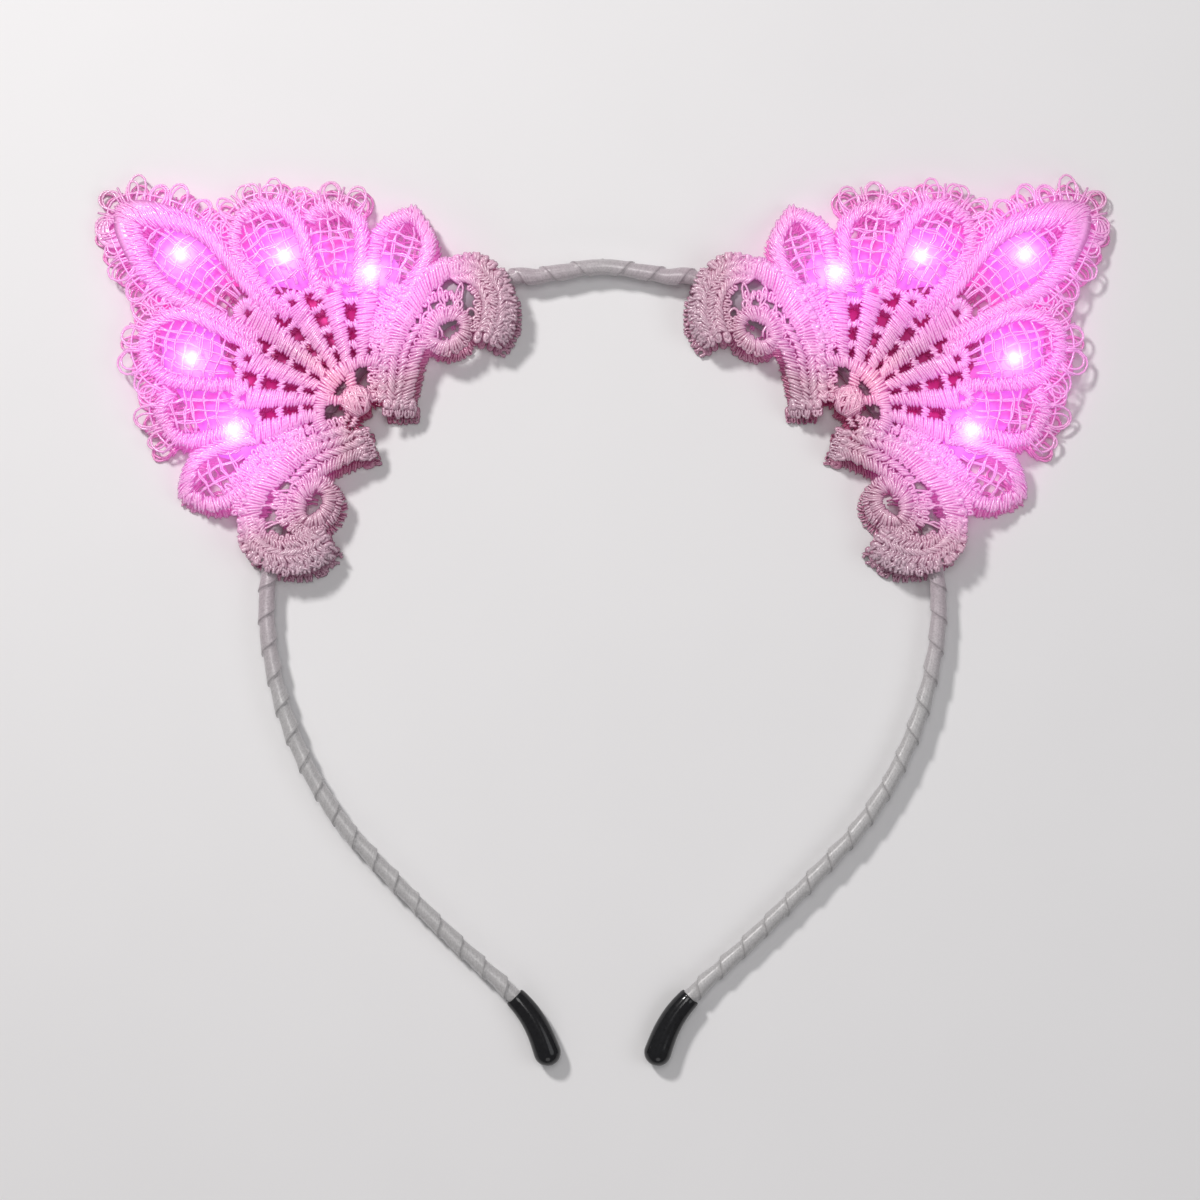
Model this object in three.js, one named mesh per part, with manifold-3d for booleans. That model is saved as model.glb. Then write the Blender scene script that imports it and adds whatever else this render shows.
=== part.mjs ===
// A light-up cat ear headband, lying flat: a ribbon-wrapped wire band with a rubber cap on each end,
// and two corner ears, each of two lace layers sewn around the band and a string of five lights.
// Millimetres. X runs across, Y from the wearer's ears up to the crown, Z up from the surface.

import * as THREE from 'three';
import { mergeVertices } from 'three/addons/utils/BufferGeometryUtils.js';
import Module from 'manifold-3d';

const wasm = await Module();
wasm.setup();

// Band and caps
const bandRadius = 63.6;
const bandThick = 3.0;
const bandSides = 8;
const bandStep = 4.4;
const capLength = 15;
const capMouth = 3.9;
const capTip = 5.2;
const capBore = 7;
const clearance = 0.3;

// Lace
const laceThick = 1.2;
const earAngle = 39;
const earReach = 59.5;
const hubInset = 3.6;
const ballRadius = 3.0;
const archRadius = 6.5;
const archWidth = 2.9;
const archSpan = 92;
const fanRadius = 25.4;
const webWidth = 4;
const fanSpan = 82;
const rimWidth = 2.5;
const tipRimWidth = 4.2;
const netBar = 0.9;
const brideWidth = 1.4;
const picotPitch = 4.2;
const picotReach = 3.8;
const picotSpan = 52;
const scrollReach = 33.4;
const cordWidth = 4.2;
const fringeWidth = 3.0;
const innerCordWidth = 4.4;
const ringRadius = 4.4;
const ringHoleLong = 4.2;
const ringHoleWide = 2.4;
const ringTurn = 105;
const backShiftOut = -1.2;
const backShiftSide = -0.5;
const outlineTolerance = 0.1;
const tentFlat = 7.5;
const tentFall = 11;

// Lights
const lightRadius = 1.9;
const lightHeight = 2.4;
const wireThick = 0.8;
const wireTail = 5;
const filmHalfWidth = 5.6;
const filmThick = 0.4;
const sleeveLength = 14;
const sleeveWidth = 8.6;
const sleeveWall = 0.4;
const sleevePlace = 0.76;

// The band's route, from the crown down one side: degrees from the crown, and distance from the
// middle of the head as a share of the band's radius
const bandRoute = [
  { turn: 0, out: 0.996 },
  { turn: 6, out: 0.989 },
  { turn: 11, out: 0.987 },
  { turn: 17, out: 1.0 },
  { turn: 32, out: 1.0 },
  { turn: 51, out: 1.0 },
  { turn: 70, out: 1.0 },
  { turn: 89, out: 1.003 },
  { turn: 104, out: 1.006 },
  { turn: 118, out: 1.013 },
  { turn: 130, out: 1.024 },
  { turn: 140, out: 1.036 },
  { turn: 149, out: 1.067 },
  { turn: 158, out: 1.122 },
  { turn: 167.5, out: 1.216 },
  { turn: 171.2, out: 1.29 },
  { turn: 173.8, out: 1.4 },
];

// Petals from the middle outwards: angle from the ear's axis, and as shares of the ear's reach the
// radii where the plate starts, where the net starts and where the tip is, and the widest half width
const petalRows = [
  { turn: 0, root: 0.37, net: 0.526, tip: 1, half: 0.133, shape: 'long', tipRim: tipRimWidth, bars: 3 },
  { turn: 22, root: 0.336, net: 0.44, tip: 0.728, half: 0.13, shape: 'round', tipRim: rimWidth, bars: 1 },
  { turn: 42.5, root: 0.336, net: 0.43, tip: 0.649, half: 0.116, shape: 'round', tipRim: rimWidth, bars: 0 },
  { turn: 67.5, root: 0.336, net: 0.424, tip: 0.654, half: 0.104, shape: 'point', tipRim: rimWidth, bars: 1 },
];

// Half widths along a petal, as shares of its length and of its widest half width
const petalShapes = {
  long: [
    { along: 0, half: 0.5 },
    { along: 0.26, half: 0.72 },
    { along: 0.5, half: 1 },
    { along: 0.68, half: 0.93 },
    { along: 0.84, half: 0.64 },
    { along: 0.95, half: 0.34 },
    { along: 1, half: 0 },
  ],
  round: [
    { along: 0, half: 0.6 },
    { along: 0.4, half: 0.9 },
    { along: 0.65, half: 1 },
    { along: 0.84, half: 0.8 },
    { along: 0.96, half: 0.4 },
    { along: 1, half: 0 },
  ],
  point: [
    { along: 0, half: 0.7 },
    { along: 0.3, half: 0.92 },
    { along: 0.62, half: 1 },
    { along: 0.8, half: 0.74 },
    { along: 0.92, half: 0.36 },
    { along: 1, half: 0 },
  ],
};

// Slits between the ribs of the fan: angle from the axis, and as shares of the fan's radius the
// start, end and half width of the two slits of a row
const slitTurns = [9, 27.5, 47.5, 68.5];
const slits = [
  { from: 0.37, to: 0.583, half: 0.022 },
  { from: 0.63, to: 0.89, half: 0.039 },
];

// The scroll's cords, as shares of its reach: out is along the ear's axis, side is away from it
const scrollCord = [
  { out: -0.14, side: 0.15 },
  { out: -0.015, side: 0.31 },
  { out: 0.054, side: 0.44 },
  { out: 0.084, side: 0.6 },
  { out: 0.087, side: 0.75 },
  { out: 0.06, side: 0.87 },
  { out: -0.01, side: 0.97 },
  { out: -0.12, side: 1.0 },
  { out: -0.235, side: 0.955 },
  { out: -0.318, side: 0.86 },
  { out: -0.36, side: 0.76 },
];
const scrollFringe = [
  { out: -0.1, side: 0.075 },
  { out: 0.02, side: 0.24 },
  { out: 0.125, side: 0.4 },
  { out: 0.17, side: 0.54 },
  { out: 0.18, side: 0.69 },
  { out: 0.15, side: 0.85 },
  { out: 0.08, side: 0.98 },
  { out: -0.01, side: 1.075 },
  { out: -0.11, side: 1.1 },
  { out: -0.21, side: 1.06 },
  { out: -0.31, side: 1.0 },
  { out: -0.385, side: 0.92 },
  { out: -0.42, side: 0.82 },
  { out: -0.41, side: 0.74 },
];
const scrollInner = [
  { out: -0.25, side: 0.135 },
  { out: -0.17, side: 0.275 },
  { out: -0.1, side: 0.42 },
  { out: -0.09, side: 0.52 },
];
const scrollFoot = [
  { out: -0.14, side: 0.066 },
  { out: -0.285, side: 0.175 },
];
const ringPlace = { out: -0.178, side: 0.605 };

// Brides across the open spaces, in the same shares
const brides = [
  { fromOut: -0.16, fromSide: 0.5, toOut: 0.03, toSide: 0.6 },
  { fromOut: -0.13, fromSide: 0.68, toOut: 0.05, toSide: 0.8 },
  { fromOut: -0.2, fromSide: 0.7, toOut: -0.33, toSide: 0.82 },
];

// The five lights of an ear, along the axis and across it as shares of the ear's reach
const lightRows = [
  { out: 0.731, side: 0.008 },
  { out: 0.472, side: 0.213 },
  { out: 0.225, side: 0.343 },
  { out: 0.497, side: -0.227 },
  { out: 0.245, side: -0.321 },
];
const stringOrder = [2, 1, 0, 3, 4];

// Heights above the surface
const backTop = laceThick;
const bandHalf = bandThick / 2;
const sleeveHalfHeight = bandHalf + clearance + sleeveWall;
const bandHeight = backTop + clearance + sleeveHalfHeight;
const filmBottom = backTop + clearance;
const lightBottom = filmBottom + filmThick + clearance;
const frontEdge = backTop + clearance;
const frontOverBand = bandHeight + bandHalf + clearance;
const frontOverSleeve = bandHeight + sleeveHalfHeight + clearance;
const frontOverLight = lightBottom + lightHeight + clearance;
const hubRadius = bandRadius - hubInset;
const sleeveTurn = THREE.MathUtils.radToDeg(Math.asin((sleevePlace * scrollReach) / bandRadius));

const petals = petalRows.map((row) => ({
  ...row,
  root: row.root * earReach,
  net: row.net * earReach,
  tip: row.tip * earReach,
  half: row.half * earReach,
}));
const lights = lightRows.map(({ out, side }) => ({ out: out * earReach, side: side * earReach }));

const looks = {
  ribbon: new THREE.MeshStandardMaterial({ color: 0xc9c4c6, roughness: 0.45, metalness: 0 }),
  rubber: new THREE.MeshStandardMaterial({ color: 0x0c0c0d, roughness: 0.22, metalness: 0 }),
  lace: new THREE.MeshStandardMaterial({ color: 0xf4b6dc, roughness: 0.6, metalness: 0 }),
  light: new THREE.MeshStandardMaterial({ color: 0xffe2fb, roughness: 0.2, metalness: 0 }),
  wire: new THREE.MeshStandardMaterial({ color: 0xd8b3c8, roughness: 0.35, metalness: 0.4 }),
  film: new THREE.MeshStandardMaterial({ color: 0xe27df0, roughness: 0.3, metalness: 0 }),
  sleeve: new THREE.MeshStandardMaterial({ color: 0xa794a3, roughness: 0.5, metalness: 0 }),
};

const radians = THREE.MathUtils.degToRad;

const origin = new THREE.Vector2();

function polar(radius, turn) {
  return new THREE.Vector2(radius * Math.cos(radians(turn)), radius * Math.sin(radians(turn)));
}

// Solids from flat outlines

function toSolid(geometry) {
  const plain = geometry.index ? geometry.toNonIndexed() : geometry.clone();
  plain.deleteAttribute('normal');
  plain.deleteAttribute('uv');
  const merged = mergeVertices(plain, 1e-5);
  return new wasm.Manifold(new wasm.Mesh({
    numProp: 3,
    vertProperties: Float32Array.from(merged.attributes.position.array),
    triVerts: Uint32Array.from(merged.index.array),
  }));
}

function toGeometry(solid) {
  const mesh = solid.getMesh();
  const geometry = new THREE.BufferGeometry();
  geometry.setAttribute('position', new THREE.BufferAttribute(mesh.vertProperties, 3));
  geometry.setIndex(new THREE.BufferAttribute(mesh.triVerts, 1));
  return geometry;
}

function plate(outline, thick = laceThick) {
  const shape = new THREE.Shape(outline);
  return toSolid(new THREE.ExtrudeGeometry(shape, { depth: thick, bevelEnabled: false }));
}

function cutter(outline) {
  const shape = new THREE.Shape(outline);
  const geometry = new THREE.ExtrudeGeometry(shape, { depth: 3 * laceThick, bevelEnabled: false });
  return toSolid(geometry.translate(0, 0, -laceThick));
}

function join(solids) {
  return solids.reduce((whole, solid) => whole.add(solid));
}

function turned(outline, turn) {
  return outline.map((point) => point.clone().rotateAround(origin, radians(turn)));
}

function mirrored(above) {
  const below = above.filter((point) => point.y > 0).reverse();
  return [...above, ...below.map((point) => new THREE.Vector2(point.x, -point.y))];
}

function ellipseOutline(centre, long, wide, turn, count) {
  const outline = [];
  for (let i = 0; i < count; i += 1) {
    const at = (2 * Math.PI * i) / count;
    outline.push(new THREE.Vector2((long / 2) * Math.cos(at), (wide / 2) * Math.sin(at)));
  }
  return turned(outline, turn).map((point) => point.add(centre));
}

function arcOutline(inner, outer, span, count) {
  const outline = [];
  for (let i = 0; i <= count; i += 1) outline.push(polar(outer, -span + (2 * span * i) / count));
  for (let i = count; i >= 0; i -= 1) outline.push(polar(inner, -span + (2 * span * i) / count));
  return outline;
}

function strokeOutline(points, width, steps) {
  const curve = new THREE.SplineCurve(points);
  const left = [];
  const right = [];
  for (let i = 0; i <= steps; i += 1) {
    const centre = curve.getPointAt(i / steps);
    const ahead = curve.getTangentAt(i / steps);
    const across = new THREE.Vector2(-ahead.y, ahead.x).multiplyScalar(width / 2);
    left.push(centre.clone().add(across));
    right.unshift(centre.clone().sub(across));
  }
  return [...left, ...right];
}

function capsuleOutline(from, to, half, count) {
  const turn = to.clone().sub(from).angle();
  const outline = [];
  for (const [centre, start] of [[to, turn - Math.PI / 2], [from, turn + Math.PI / 2]]) {
    for (let i = 0; i <= count; i += 1) {
      const at = start + (Math.PI * i) / count;
      outline.push(new THREE.Vector2(Math.cos(at), Math.sin(at)).multiplyScalar(half).add(centre));
    }
  }
  return outline;
}

// Petals

function petalHalf(petal, radius) {
  const rows = petalShapes[petal.shape];
  const along = THREE.MathUtils.clamp((radius - petal.root) / (petal.tip - petal.root), 0, 1);
  const next = Math.max(1, rows.findIndex((row) => row.along >= along));
  const before = rows[next - 1];
  const after = rows[next];
  const share = (along - before.along) / (after.along - before.along);
  return petal.half * THREE.MathUtils.lerp(before.half, after.half, share);
}

function petalOutline(petal, side, spans) {
  const rows = petalShapes[petal.shape];
  const edge = rows.map((row) => new THREE.Vector2(
    THREE.MathUtils.lerp(petal.root, petal.tip, row.along),
    petal.half * row.half,
  ));
  const above = new THREE.SplineCurve(edge).getPoints(spans);
  return turned(mirrored(above), side * petal.turn);
}

function netCutter(petal, side, fine) {
  const far = petal.tip - petal.tipRim;
  const steps = 5;
  const above = [];
  for (let i = 0; i <= steps; i += 1) {
    const radius = THREE.MathUtils.lerp(petal.net, far, i / steps);
    above.push(new THREE.Vector2(radius, Math.max(petalHalf(petal, radius) - rimWidth, netBar / 2)));
  }
  const turn = side * petal.turn;
  let open = cutter(turned(mirrored(above), turn));
  if (!fine) return open;
  if (petal.shape !== 'point') {
    const ends = [polar(petal.net - netBar, turn), polar(far + netBar, turn)];
    open = open.subtract(cutter(strokeOutline(ends, netBar, 1)));
  }
  for (let i = 1; i <= petal.bars; i += 1) {
    const radius = THREE.MathUtils.lerp(petal.net, far, i / (petal.bars + 1));
    const bar = [new THREE.Vector2(radius, -petal.half), new THREE.Vector2(radius, petal.half)];
    open = open.subtract(cutter(turned(strokeOutline(bar, netBar, 1), turn)));
  }
  return open;
}

function bothSides(petal) {
  return petal.turn === 0 ? [1] : [1, -1];
}

function edgeRadius(rings, turn) {
  let far = 0;
  for (const ring of rings) {
    const level = turned(ring, -turn);
    level.forEach((from, i) => {
      const to = level[(i + 1) % level.length];
      if (from.y * to.y > 0 || from.y === to.y) return;
      far = Math.max(far, THREE.MathUtils.lerp(from.x, to.x, from.y / (from.y - to.y)));
    });
  }
  return far;
}

// The threads that join two petals where their rims part
function webOutlines(rings) {
  return petals.slice(1).flatMap((petal, i) => [1, -1].map((side) => {
    const turn = (side * (petal.turn + petals[i].turn)) / 2;
    const valley = edgeRadius(rings, turn) + webWidth / 2;
    return strokeOutline([polar(fanRadius - webWidth, turn), polar(valley, turn)], webWidth, 1);
  }));
}

function picotOutlines(rings, count) {
  const edge = [];
  for (let turn = -picotSpan; turn <= picotSpan; turn += 3) edge.push(polar(edgeRadius(rings, turn), turn));
  edge.push(polar(edgeRadius(rings, picotSpan), picotSpan));
  const curve = new THREE.SplineCurve(edge);
  curve.arcLengthDivisions = 400;
  const loops = Math.round(curve.getLength() / picotPitch);
  const outlines = [];
  for (let i = 0; i < loops; i += 1) {
    const centre = curve.getPointAt((i + 0.5) / loops);
    const ahead = curve.getTangentAt((i + 0.5) / loops);
    const turn = THREE.MathUtils.radToDeg(ahead.angle()) - 90;
    const outline = [];
    for (let j = 0; j <= count; j += 1) {
      const at = -Math.PI / 2 + (Math.PI * j) / count;
      outline.push(new THREE.Vector2(picotReach * Math.cos(at), 0.45 * picotPitch * Math.sin(at)));
    }
    outline.push(new THREE.Vector2(-rimWidth / 2, 0.45 * picotPitch));
    outline.push(new THREE.Vector2(-rimWidth / 2, -0.45 * picotPitch));
    outlines.push(turned(outline, turn).map((point) => point.add(centre)));
  }
  return outlines;
}

// Scrolls

function scrollPoint(row, side) {
  return new THREE.Vector2(row.out * scrollReach, side * row.side * scrollReach);
}

function scrollPlates(side, fine) {
  const trace = (rows, width, steps) =>
    plate(strokeOutline(rows.map((row) => scrollPoint(row, side)), width, fine ? steps : steps / 2));
  const ring = ellipseOutline(scrollPoint(ringPlace, side), 2 * ringRadius, 1.8 * ringRadius, 0, 14);
  const plates = [
    trace(scrollCord, cordWidth, 20),
    trace(scrollFringe, fringeWidth, 22),
    trace(scrollInner, innerCordWidth, 6),
    trace(scrollFoot, fringeWidth, 2),
    plate(ring),
  ];
  for (const bride of brides) {
    const from = scrollPoint({ out: bride.fromOut, side: bride.fromSide }, side);
    const to = scrollPoint({ out: bride.toOut, side: bride.toSide }, side);
    plates.push(plate(strokeOutline([from, to], brideWidth, 1)));
  }
  return plates;
}

function ringCutter(side) {
  const centre = scrollPoint(ringPlace, side);
  return cutter(ellipseOutline(centre, ringHoleLong, ringHoleWide, side * ringTurn, 8));
}

// Lace panels

function slitOutline({ from, to, half }, turn) {
  const outline = [
    new THREE.Vector2(from, -half / 2),
    new THREE.Vector2(to, -half),
    new THREE.Vector2(to + half, 0),
    new THREE.Vector2(to, half),
    new THREE.Vector2(from, half / 2),
  ];
  return turned(outline.map((point) => point.multiplyScalar(fanRadius)), turn);
}

function lacePanel(fine) {
  const spans = fine ? 12 : 8;
  const rings = petals.flatMap((petal) => bothSides(petal).map((side) => petalOutline(petal, side, spans)));
  const plates = [
    plate(ellipseOutline(origin, 2 * ballRadius, 2 * ballRadius, 0, 12)),
    plate(arcOutline(archRadius - archWidth / 2, archRadius + archWidth / 2, archSpan, 14)),
    plate(arcOutline(archRadius, fanRadius, fanSpan, 14)),
    plate(strokeOutline([origin, polar(archRadius, 0)], brideWidth, 1)),
    ...rings.map((ring) => plate(ring)),
    ...webOutlines(rings).map((outline) => plate(outline)),
    ...picotOutlines(rings, fine ? 3 : 2).map((outline) => plate(outline)),
  ];
  const cutters = petals.flatMap((petal) => bothSides(petal).map((side) => netCutter(petal, side, fine)));
  for (const side of [1, -1]) {
    plates.push(...scrollPlates(side, fine));
    plates.push(plate(strokeOutline([origin, scrollPoint(scrollCord[0], side)], brideWidth, 1)));
    cutters.push(ringCutter(side));
    if (fine) {
      for (const turn of slitTurns) {
        for (const slit of slits) cutters.push(cutter(slitOutline(slit, side * turn)));
      }
    }
  }
  return join(plates).subtract(join(cutters)).asOriginal().simplify(outlineTolerance);
}

function tent(gap, flat) {
  return 1 - THREE.MathUtils.smoothstep(gap, flat, flat + tentFall);
}

function frontHeight(x, y, side) {
  const place = new THREE.Vector2(x, y);
  const bandGap = Math.abs(Math.hypot(x + hubRadius, y) - bandRadius);
  const sleeve = polar(bandRadius, side * sleeveTurn).sub(new THREE.Vector2(hubRadius, 0));
  const rises = [
    (frontOverBand - frontEdge) * tent(bandGap, tentFlat),
    (frontOverSleeve - frontEdge) * tent(place.distanceTo(sleeve), sleeveLength / 2 + 2),
  ];
  for (const light of lights) {
    const lightGap = place.distanceTo(new THREE.Vector2(light.out, side * light.side));
    rises.push((frontOverLight - frontEdge) * tent(lightGap, tentFlat));
  }
  return frontEdge + Math.max(...rises);
}

function drape(geometry, side) {
  const position = geometry.attributes.position;
  for (let i = 0; i < position.count; i += 1) {
    const rise = frontHeight(position.getX(i), position.getY(i), side);
    position.setZ(i, position.getZ(i) + rise);
  }
  return geometry;
}

// Bodies lofted through rings of points around the band's route

function loft(rings, closed) {
  const count = rings[0].length;
  const points = rings.flat();
  const faces = [];
  const last = closed ? rings.length : rings.length - 1;
  for (let i = 0; i < last; i += 1) {
    const near = i * count;
    const far = ((i + 1) % rings.length) * count;
    for (let j = 0; j < count; j += 1) {
      const next = (j + 1) % count;
      faces.push(near + j, near + next, far + j, near + next, far + next, far + j);
    }
  }
  if (!closed) {
    const end = (rings.length - 1) * count;
    for (let j = 1; j < count - 1; j += 1) faces.push(0, j + 1, j, end, end + j, end + j + 1);
  }
  const geometry = new THREE.BufferGeometry().setFromPoints(points);
  geometry.setIndex(faces);
  return geometry;
}

function routePoint(row, side) {
  const end = bandRoute.at(-1).turn;
  const fall = THREE.MathUtils.smoothstep(row.turn, 104, 167);
  const height = THREE.MathUtils.lerp(bandHeight, capTip / 2, fall);
  const flat = polar(bandRadius * row.out, 90 - side * row.turn);
  return new THREE.Vector3(flat.x, flat.y, height);
}

const route = new THREE.CatmullRomCurve3([
  ...bandRoute.slice(1).reverse().map((row) => routePoint(row, -1)),
  ...bandRoute.map((row) => routePoint(row, 1)),
]);
route.arcLengthDivisions = 2000;
const routeLength = route.getLength();

function ringAround(distance, wide, high, sides) {
  const centre = route.getPointAt(distance / routeLength);
  const ahead = route.getTangentAt(distance / routeLength);
  const across = new THREE.Vector3(0, 0, 1).cross(ahead).normalize();
  const up = ahead.clone().cross(across);
  const ring = [];
  for (let i = 0; i < sides; i += 1) {
    const at = (2 * Math.PI * i) / sides;
    const point = centre.clone().addScaledVector(across, (wide / 2) * Math.cos(at));
    ring.push(point.addScaledVector(up, (high / 2) * Math.sin(at)));
  }
  return ring;
}

function bandBody() {
  const from = capLength - capBore + clearance;
  const span = routeLength - 2 * from;
  const steps = Math.round(span / bandStep);
  const rings = [];
  for (let i = 0; i <= steps; i += 1) {
    rings.push(ringAround(from + (span * i) / steps, bandThick, bandThick, bandSides));
  }
  return loft(rings, false);
}

// The cap: up its bore from the blind end to the mouth, then down the outside to the round tip
function capBody(side) {
  const sides = 12;
  const place = (along) => (side > 0 ? routeLength - capLength + along : capLength - along);
  const bore = bandThick + 2 * clearance;
  const rings = [ringAround(place(capBore), bore, bore, sides), ringAround(place(0), bore, bore, sides)];
  const straight = capLength - capTip / 2;
  const steps = 4;
  for (let i = 0; i <= steps; i += 1) {
    const wide = THREE.MathUtils.lerp(capMouth, capTip, i / steps);
    rings.push(ringAround(place((straight * i) / steps), wide, wide, sides));
  }
  for (const turn of [25, 50, 75]) {
    const wide = capTip * Math.cos(radians(turn));
    const along = straight + (capTip / 2) * Math.sin(radians(turn));
    rings.push(ringAround(place(along), wide, wide, sides));
  }
  return loft(side > 0 ? rings : rings.map((ring) => ring.toReversed()), false);
}

function sleeveBody(side) {
  const sides = 12;
  const crown = routeLength / 2;
  const middle = crown + side * radians(90 - earAngle - sleeveTurn) * bandRadius;
  const bore = bandThick + 2 * clearance;
  const rings = [];
  const shares = [-0.5, -0.36, 0, 0.36, 0.5];
  for (const share of shares) {
    const wide = Math.abs(share) === 0.5 ? 0.7 * sleeveWidth : sleeveWidth;
    rings.push(ringAround(middle + sleeveLength * share, wide, 2 * sleeveHalfHeight, sides));
  }
  for (const share of shares.toReversed()) {
    rings.push(ringAround(middle + sleeveLength * share, bore, bore, sides));
  }
  return loft(rings, true);
}

// Lights, their wire and the sheer film behind them

function lightBody() {
  const profile = [[0, 0], [0.8, 0], [1, 0.3], [0.85, 0.72], [0.5, 0.94], [0, 1]];
  const points = profile.map(([out, up]) => new THREE.Vector2(out * lightRadius, up * lightHeight));
  return new THREE.LatheGeometry(points, 8).rotateX(Math.PI / 2);
}

function lightPlace(light, side) {
  return new THREE.Vector2(light.out, side * light.side);
}

function wireBody(side) {
  const beside = lightRadius + wireThick / 2 + clearance;
  const height = lightBottom + wireThick / 2;
  const first = polar(bandRadius + sleeveWidth / 2 + wireThick / 2 + clearance, side * sleeveTurn);
  const points = [new THREE.Vector3(first.x - hubRadius, first.y, bandHeight)];
  for (const index of stringOrder) {
    const at = lightPlace(lights[index], side);
    at.setLength(at.length() - beside);
    points.push(new THREE.Vector3(at.x, at.y, height));
  }
  const [before, last] = stringOrder.slice(-2).map((index) => lightPlace(lights[index], side));
  const tail = last.clone().sub(before).setLength(wireTail);
  points.push(points.at(-1).clone().add(new THREE.Vector3(tail.x, tail.y, 0)));
  const section = new THREE.Shape(ellipseOutline(origin, wireThick, wireThick, 0, 5));
  const path = new THREE.CatmullRomCurve3(points);
  return new THREE.ExtrudeGeometry(section, { steps: 30, extrudePath: path });
}

function filmBody(side) {
  const strips = stringOrder.slice(1).map((index, i) => {
    const from = lightPlace(lights[stringOrder[i]], side);
    return plate(capsuleOutline(from, lightPlace(lights[index], side), filmHalfWidth, 6), filmThick);
  });
  return toGeometry(join(strips).asOriginal().simplify(outlineTolerance)).translate(0, 0, filmBottom);
}

// The whole headband, about the middle of the head

const headband = new THREE.Group();

function addPiece(parent, name, geometry, look, height = 0) {
  const mesh = new THREE.Mesh(geometry, look);
  mesh.name = name;
  mesh.position.z = height;
  parent.add(mesh);
  return mesh;
}

addPiece(headband, 'wrapped_band', bandBody(), looks.ribbon);

const frontPanel = lacePanel(true);
const backPanel = lacePanel(false);

for (const [word, side] of [['left', -1], ['right', 1]]) {
  addPiece(headband, `end_cap_${word}`, capBody(side), looks.rubber);
  addPiece(headband, `battery_sleeve_${word}`, sleeveBody(side), looks.sleeve);

  const ear = new THREE.Group();
  const turn = side > 0 ? earAngle : 180 - earAngle;
  const hub = polar(hubRadius, turn);
  ear.position.set(hub.x, hub.y, 0);
  ear.rotation.z = radians(turn);
  addPiece(ear, `lace_front_${word}`, drape(toGeometry(frontPanel), side), looks.lace);
  const back = addPiece(ear, `lace_back_${word}`, toGeometry(backPanel), looks.lace);
  back.position.set(backShiftOut, side * backShiftSide, 0);
  lights.forEach((light, i) => {
    const piece = addPiece(ear, `light_${word}_${i + 1}`, lightBody(), looks.light, lightBottom);
    piece.position.x = light.out;
    piece.position.y = side * light.side;
  });
  addPiece(ear, `light_wire_${word}`, wireBody(side), looks.wire);
  addPiece(ear, `glow_film_${word}`, filmBody(side), looks.film);
  headband.add(ear);
}

// The origin is the middle of the whole outline, on the surface that it lies on
headband.updateMatrixWorld(true);
const box = new THREE.Box3().setFromObject(headband, true);
const middle = box.getCenter(new THREE.Vector3());
headband.position.set(-middle.x, -middle.y, -box.min.z);

const model = new THREE.Group();
model.add(headband);

export default model;
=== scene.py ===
import math

import bpy
import numpy as np
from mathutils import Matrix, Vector


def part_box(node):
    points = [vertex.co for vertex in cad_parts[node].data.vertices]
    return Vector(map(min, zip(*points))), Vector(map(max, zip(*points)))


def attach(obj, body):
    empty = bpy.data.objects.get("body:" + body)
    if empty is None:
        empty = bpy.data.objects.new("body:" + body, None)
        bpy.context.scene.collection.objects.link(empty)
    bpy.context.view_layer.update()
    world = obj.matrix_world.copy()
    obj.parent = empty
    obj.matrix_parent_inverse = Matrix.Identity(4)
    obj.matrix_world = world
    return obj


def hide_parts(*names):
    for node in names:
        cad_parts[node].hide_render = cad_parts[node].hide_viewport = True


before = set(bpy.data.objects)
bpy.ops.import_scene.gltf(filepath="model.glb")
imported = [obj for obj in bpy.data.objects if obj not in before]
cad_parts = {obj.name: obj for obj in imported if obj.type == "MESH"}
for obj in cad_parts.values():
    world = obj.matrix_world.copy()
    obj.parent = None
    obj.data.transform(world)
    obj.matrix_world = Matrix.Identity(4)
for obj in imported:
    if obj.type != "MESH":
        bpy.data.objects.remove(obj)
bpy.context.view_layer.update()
bpy.ops.object.select_all(action="DESELECT")
mm = 0.001    # lengths below are in millimetres and scaled to metres where a mesh is made
words = {"left": -1, "right": 1}

# The ear's own directions: out along its axis from the hub, across it towards the crown
ear = {
    "bandRadius": 63.6,    # centreline of the band over the crown, about the middle of the head
    "turn": 39,            # the ear's axis above the horizontal
    "hubInset": 3.6,       # the hub lies this far inside the band's centreline
    "reach": 59.5,         # hub to corner tip
    "scrollReach": 33.4,   # the ear's axis to the scroll's far end
    "fanMiddle": 12,       # out from the hub
    "lights": [(0.731, 0.008), (0.472, 0.213), (0.225, 0.343), (0.497, -0.227), (0.245, -0.321)],
    "lightOrder": [2, 1, 0, 3, 4],
    "sleevePlace": 0.76,   # along the scroll
    "fanReach": 7, "fanFade": 12, "fanShift": 0.4,    # less shift in the fan, whose holes stay open
    "backShift": (-1.2, -0.5),    # of the back layer
    "gap": 0.3,            # between pieces
}
hubRadius = ear["bandRadius"] - ear["hubInset"]
lightPlaces = np.array(ear["lights"]) * ear["reach"]


def boxOf(node):
    return np.array(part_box(node)) / mm


# A point in the ear's directions, as x and y about the middle of the head
def aboutHead(points, side):
    turn = math.radians(ear["turn"] if side > 0 else 180 - ear["turn"])
    out = hubRadius + points[..., 0]
    across = side * points[..., 1]
    x = out * math.cos(turn) - across * math.sin(turn)
    y = out * math.sin(turn) + across * math.cos(turn)
    return np.stack([x, y], axis=-1)


head = boxOf("light_right_1").mean(axis=0)[:2] - aboutHead(lightPlaces[0], 1)

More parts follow.
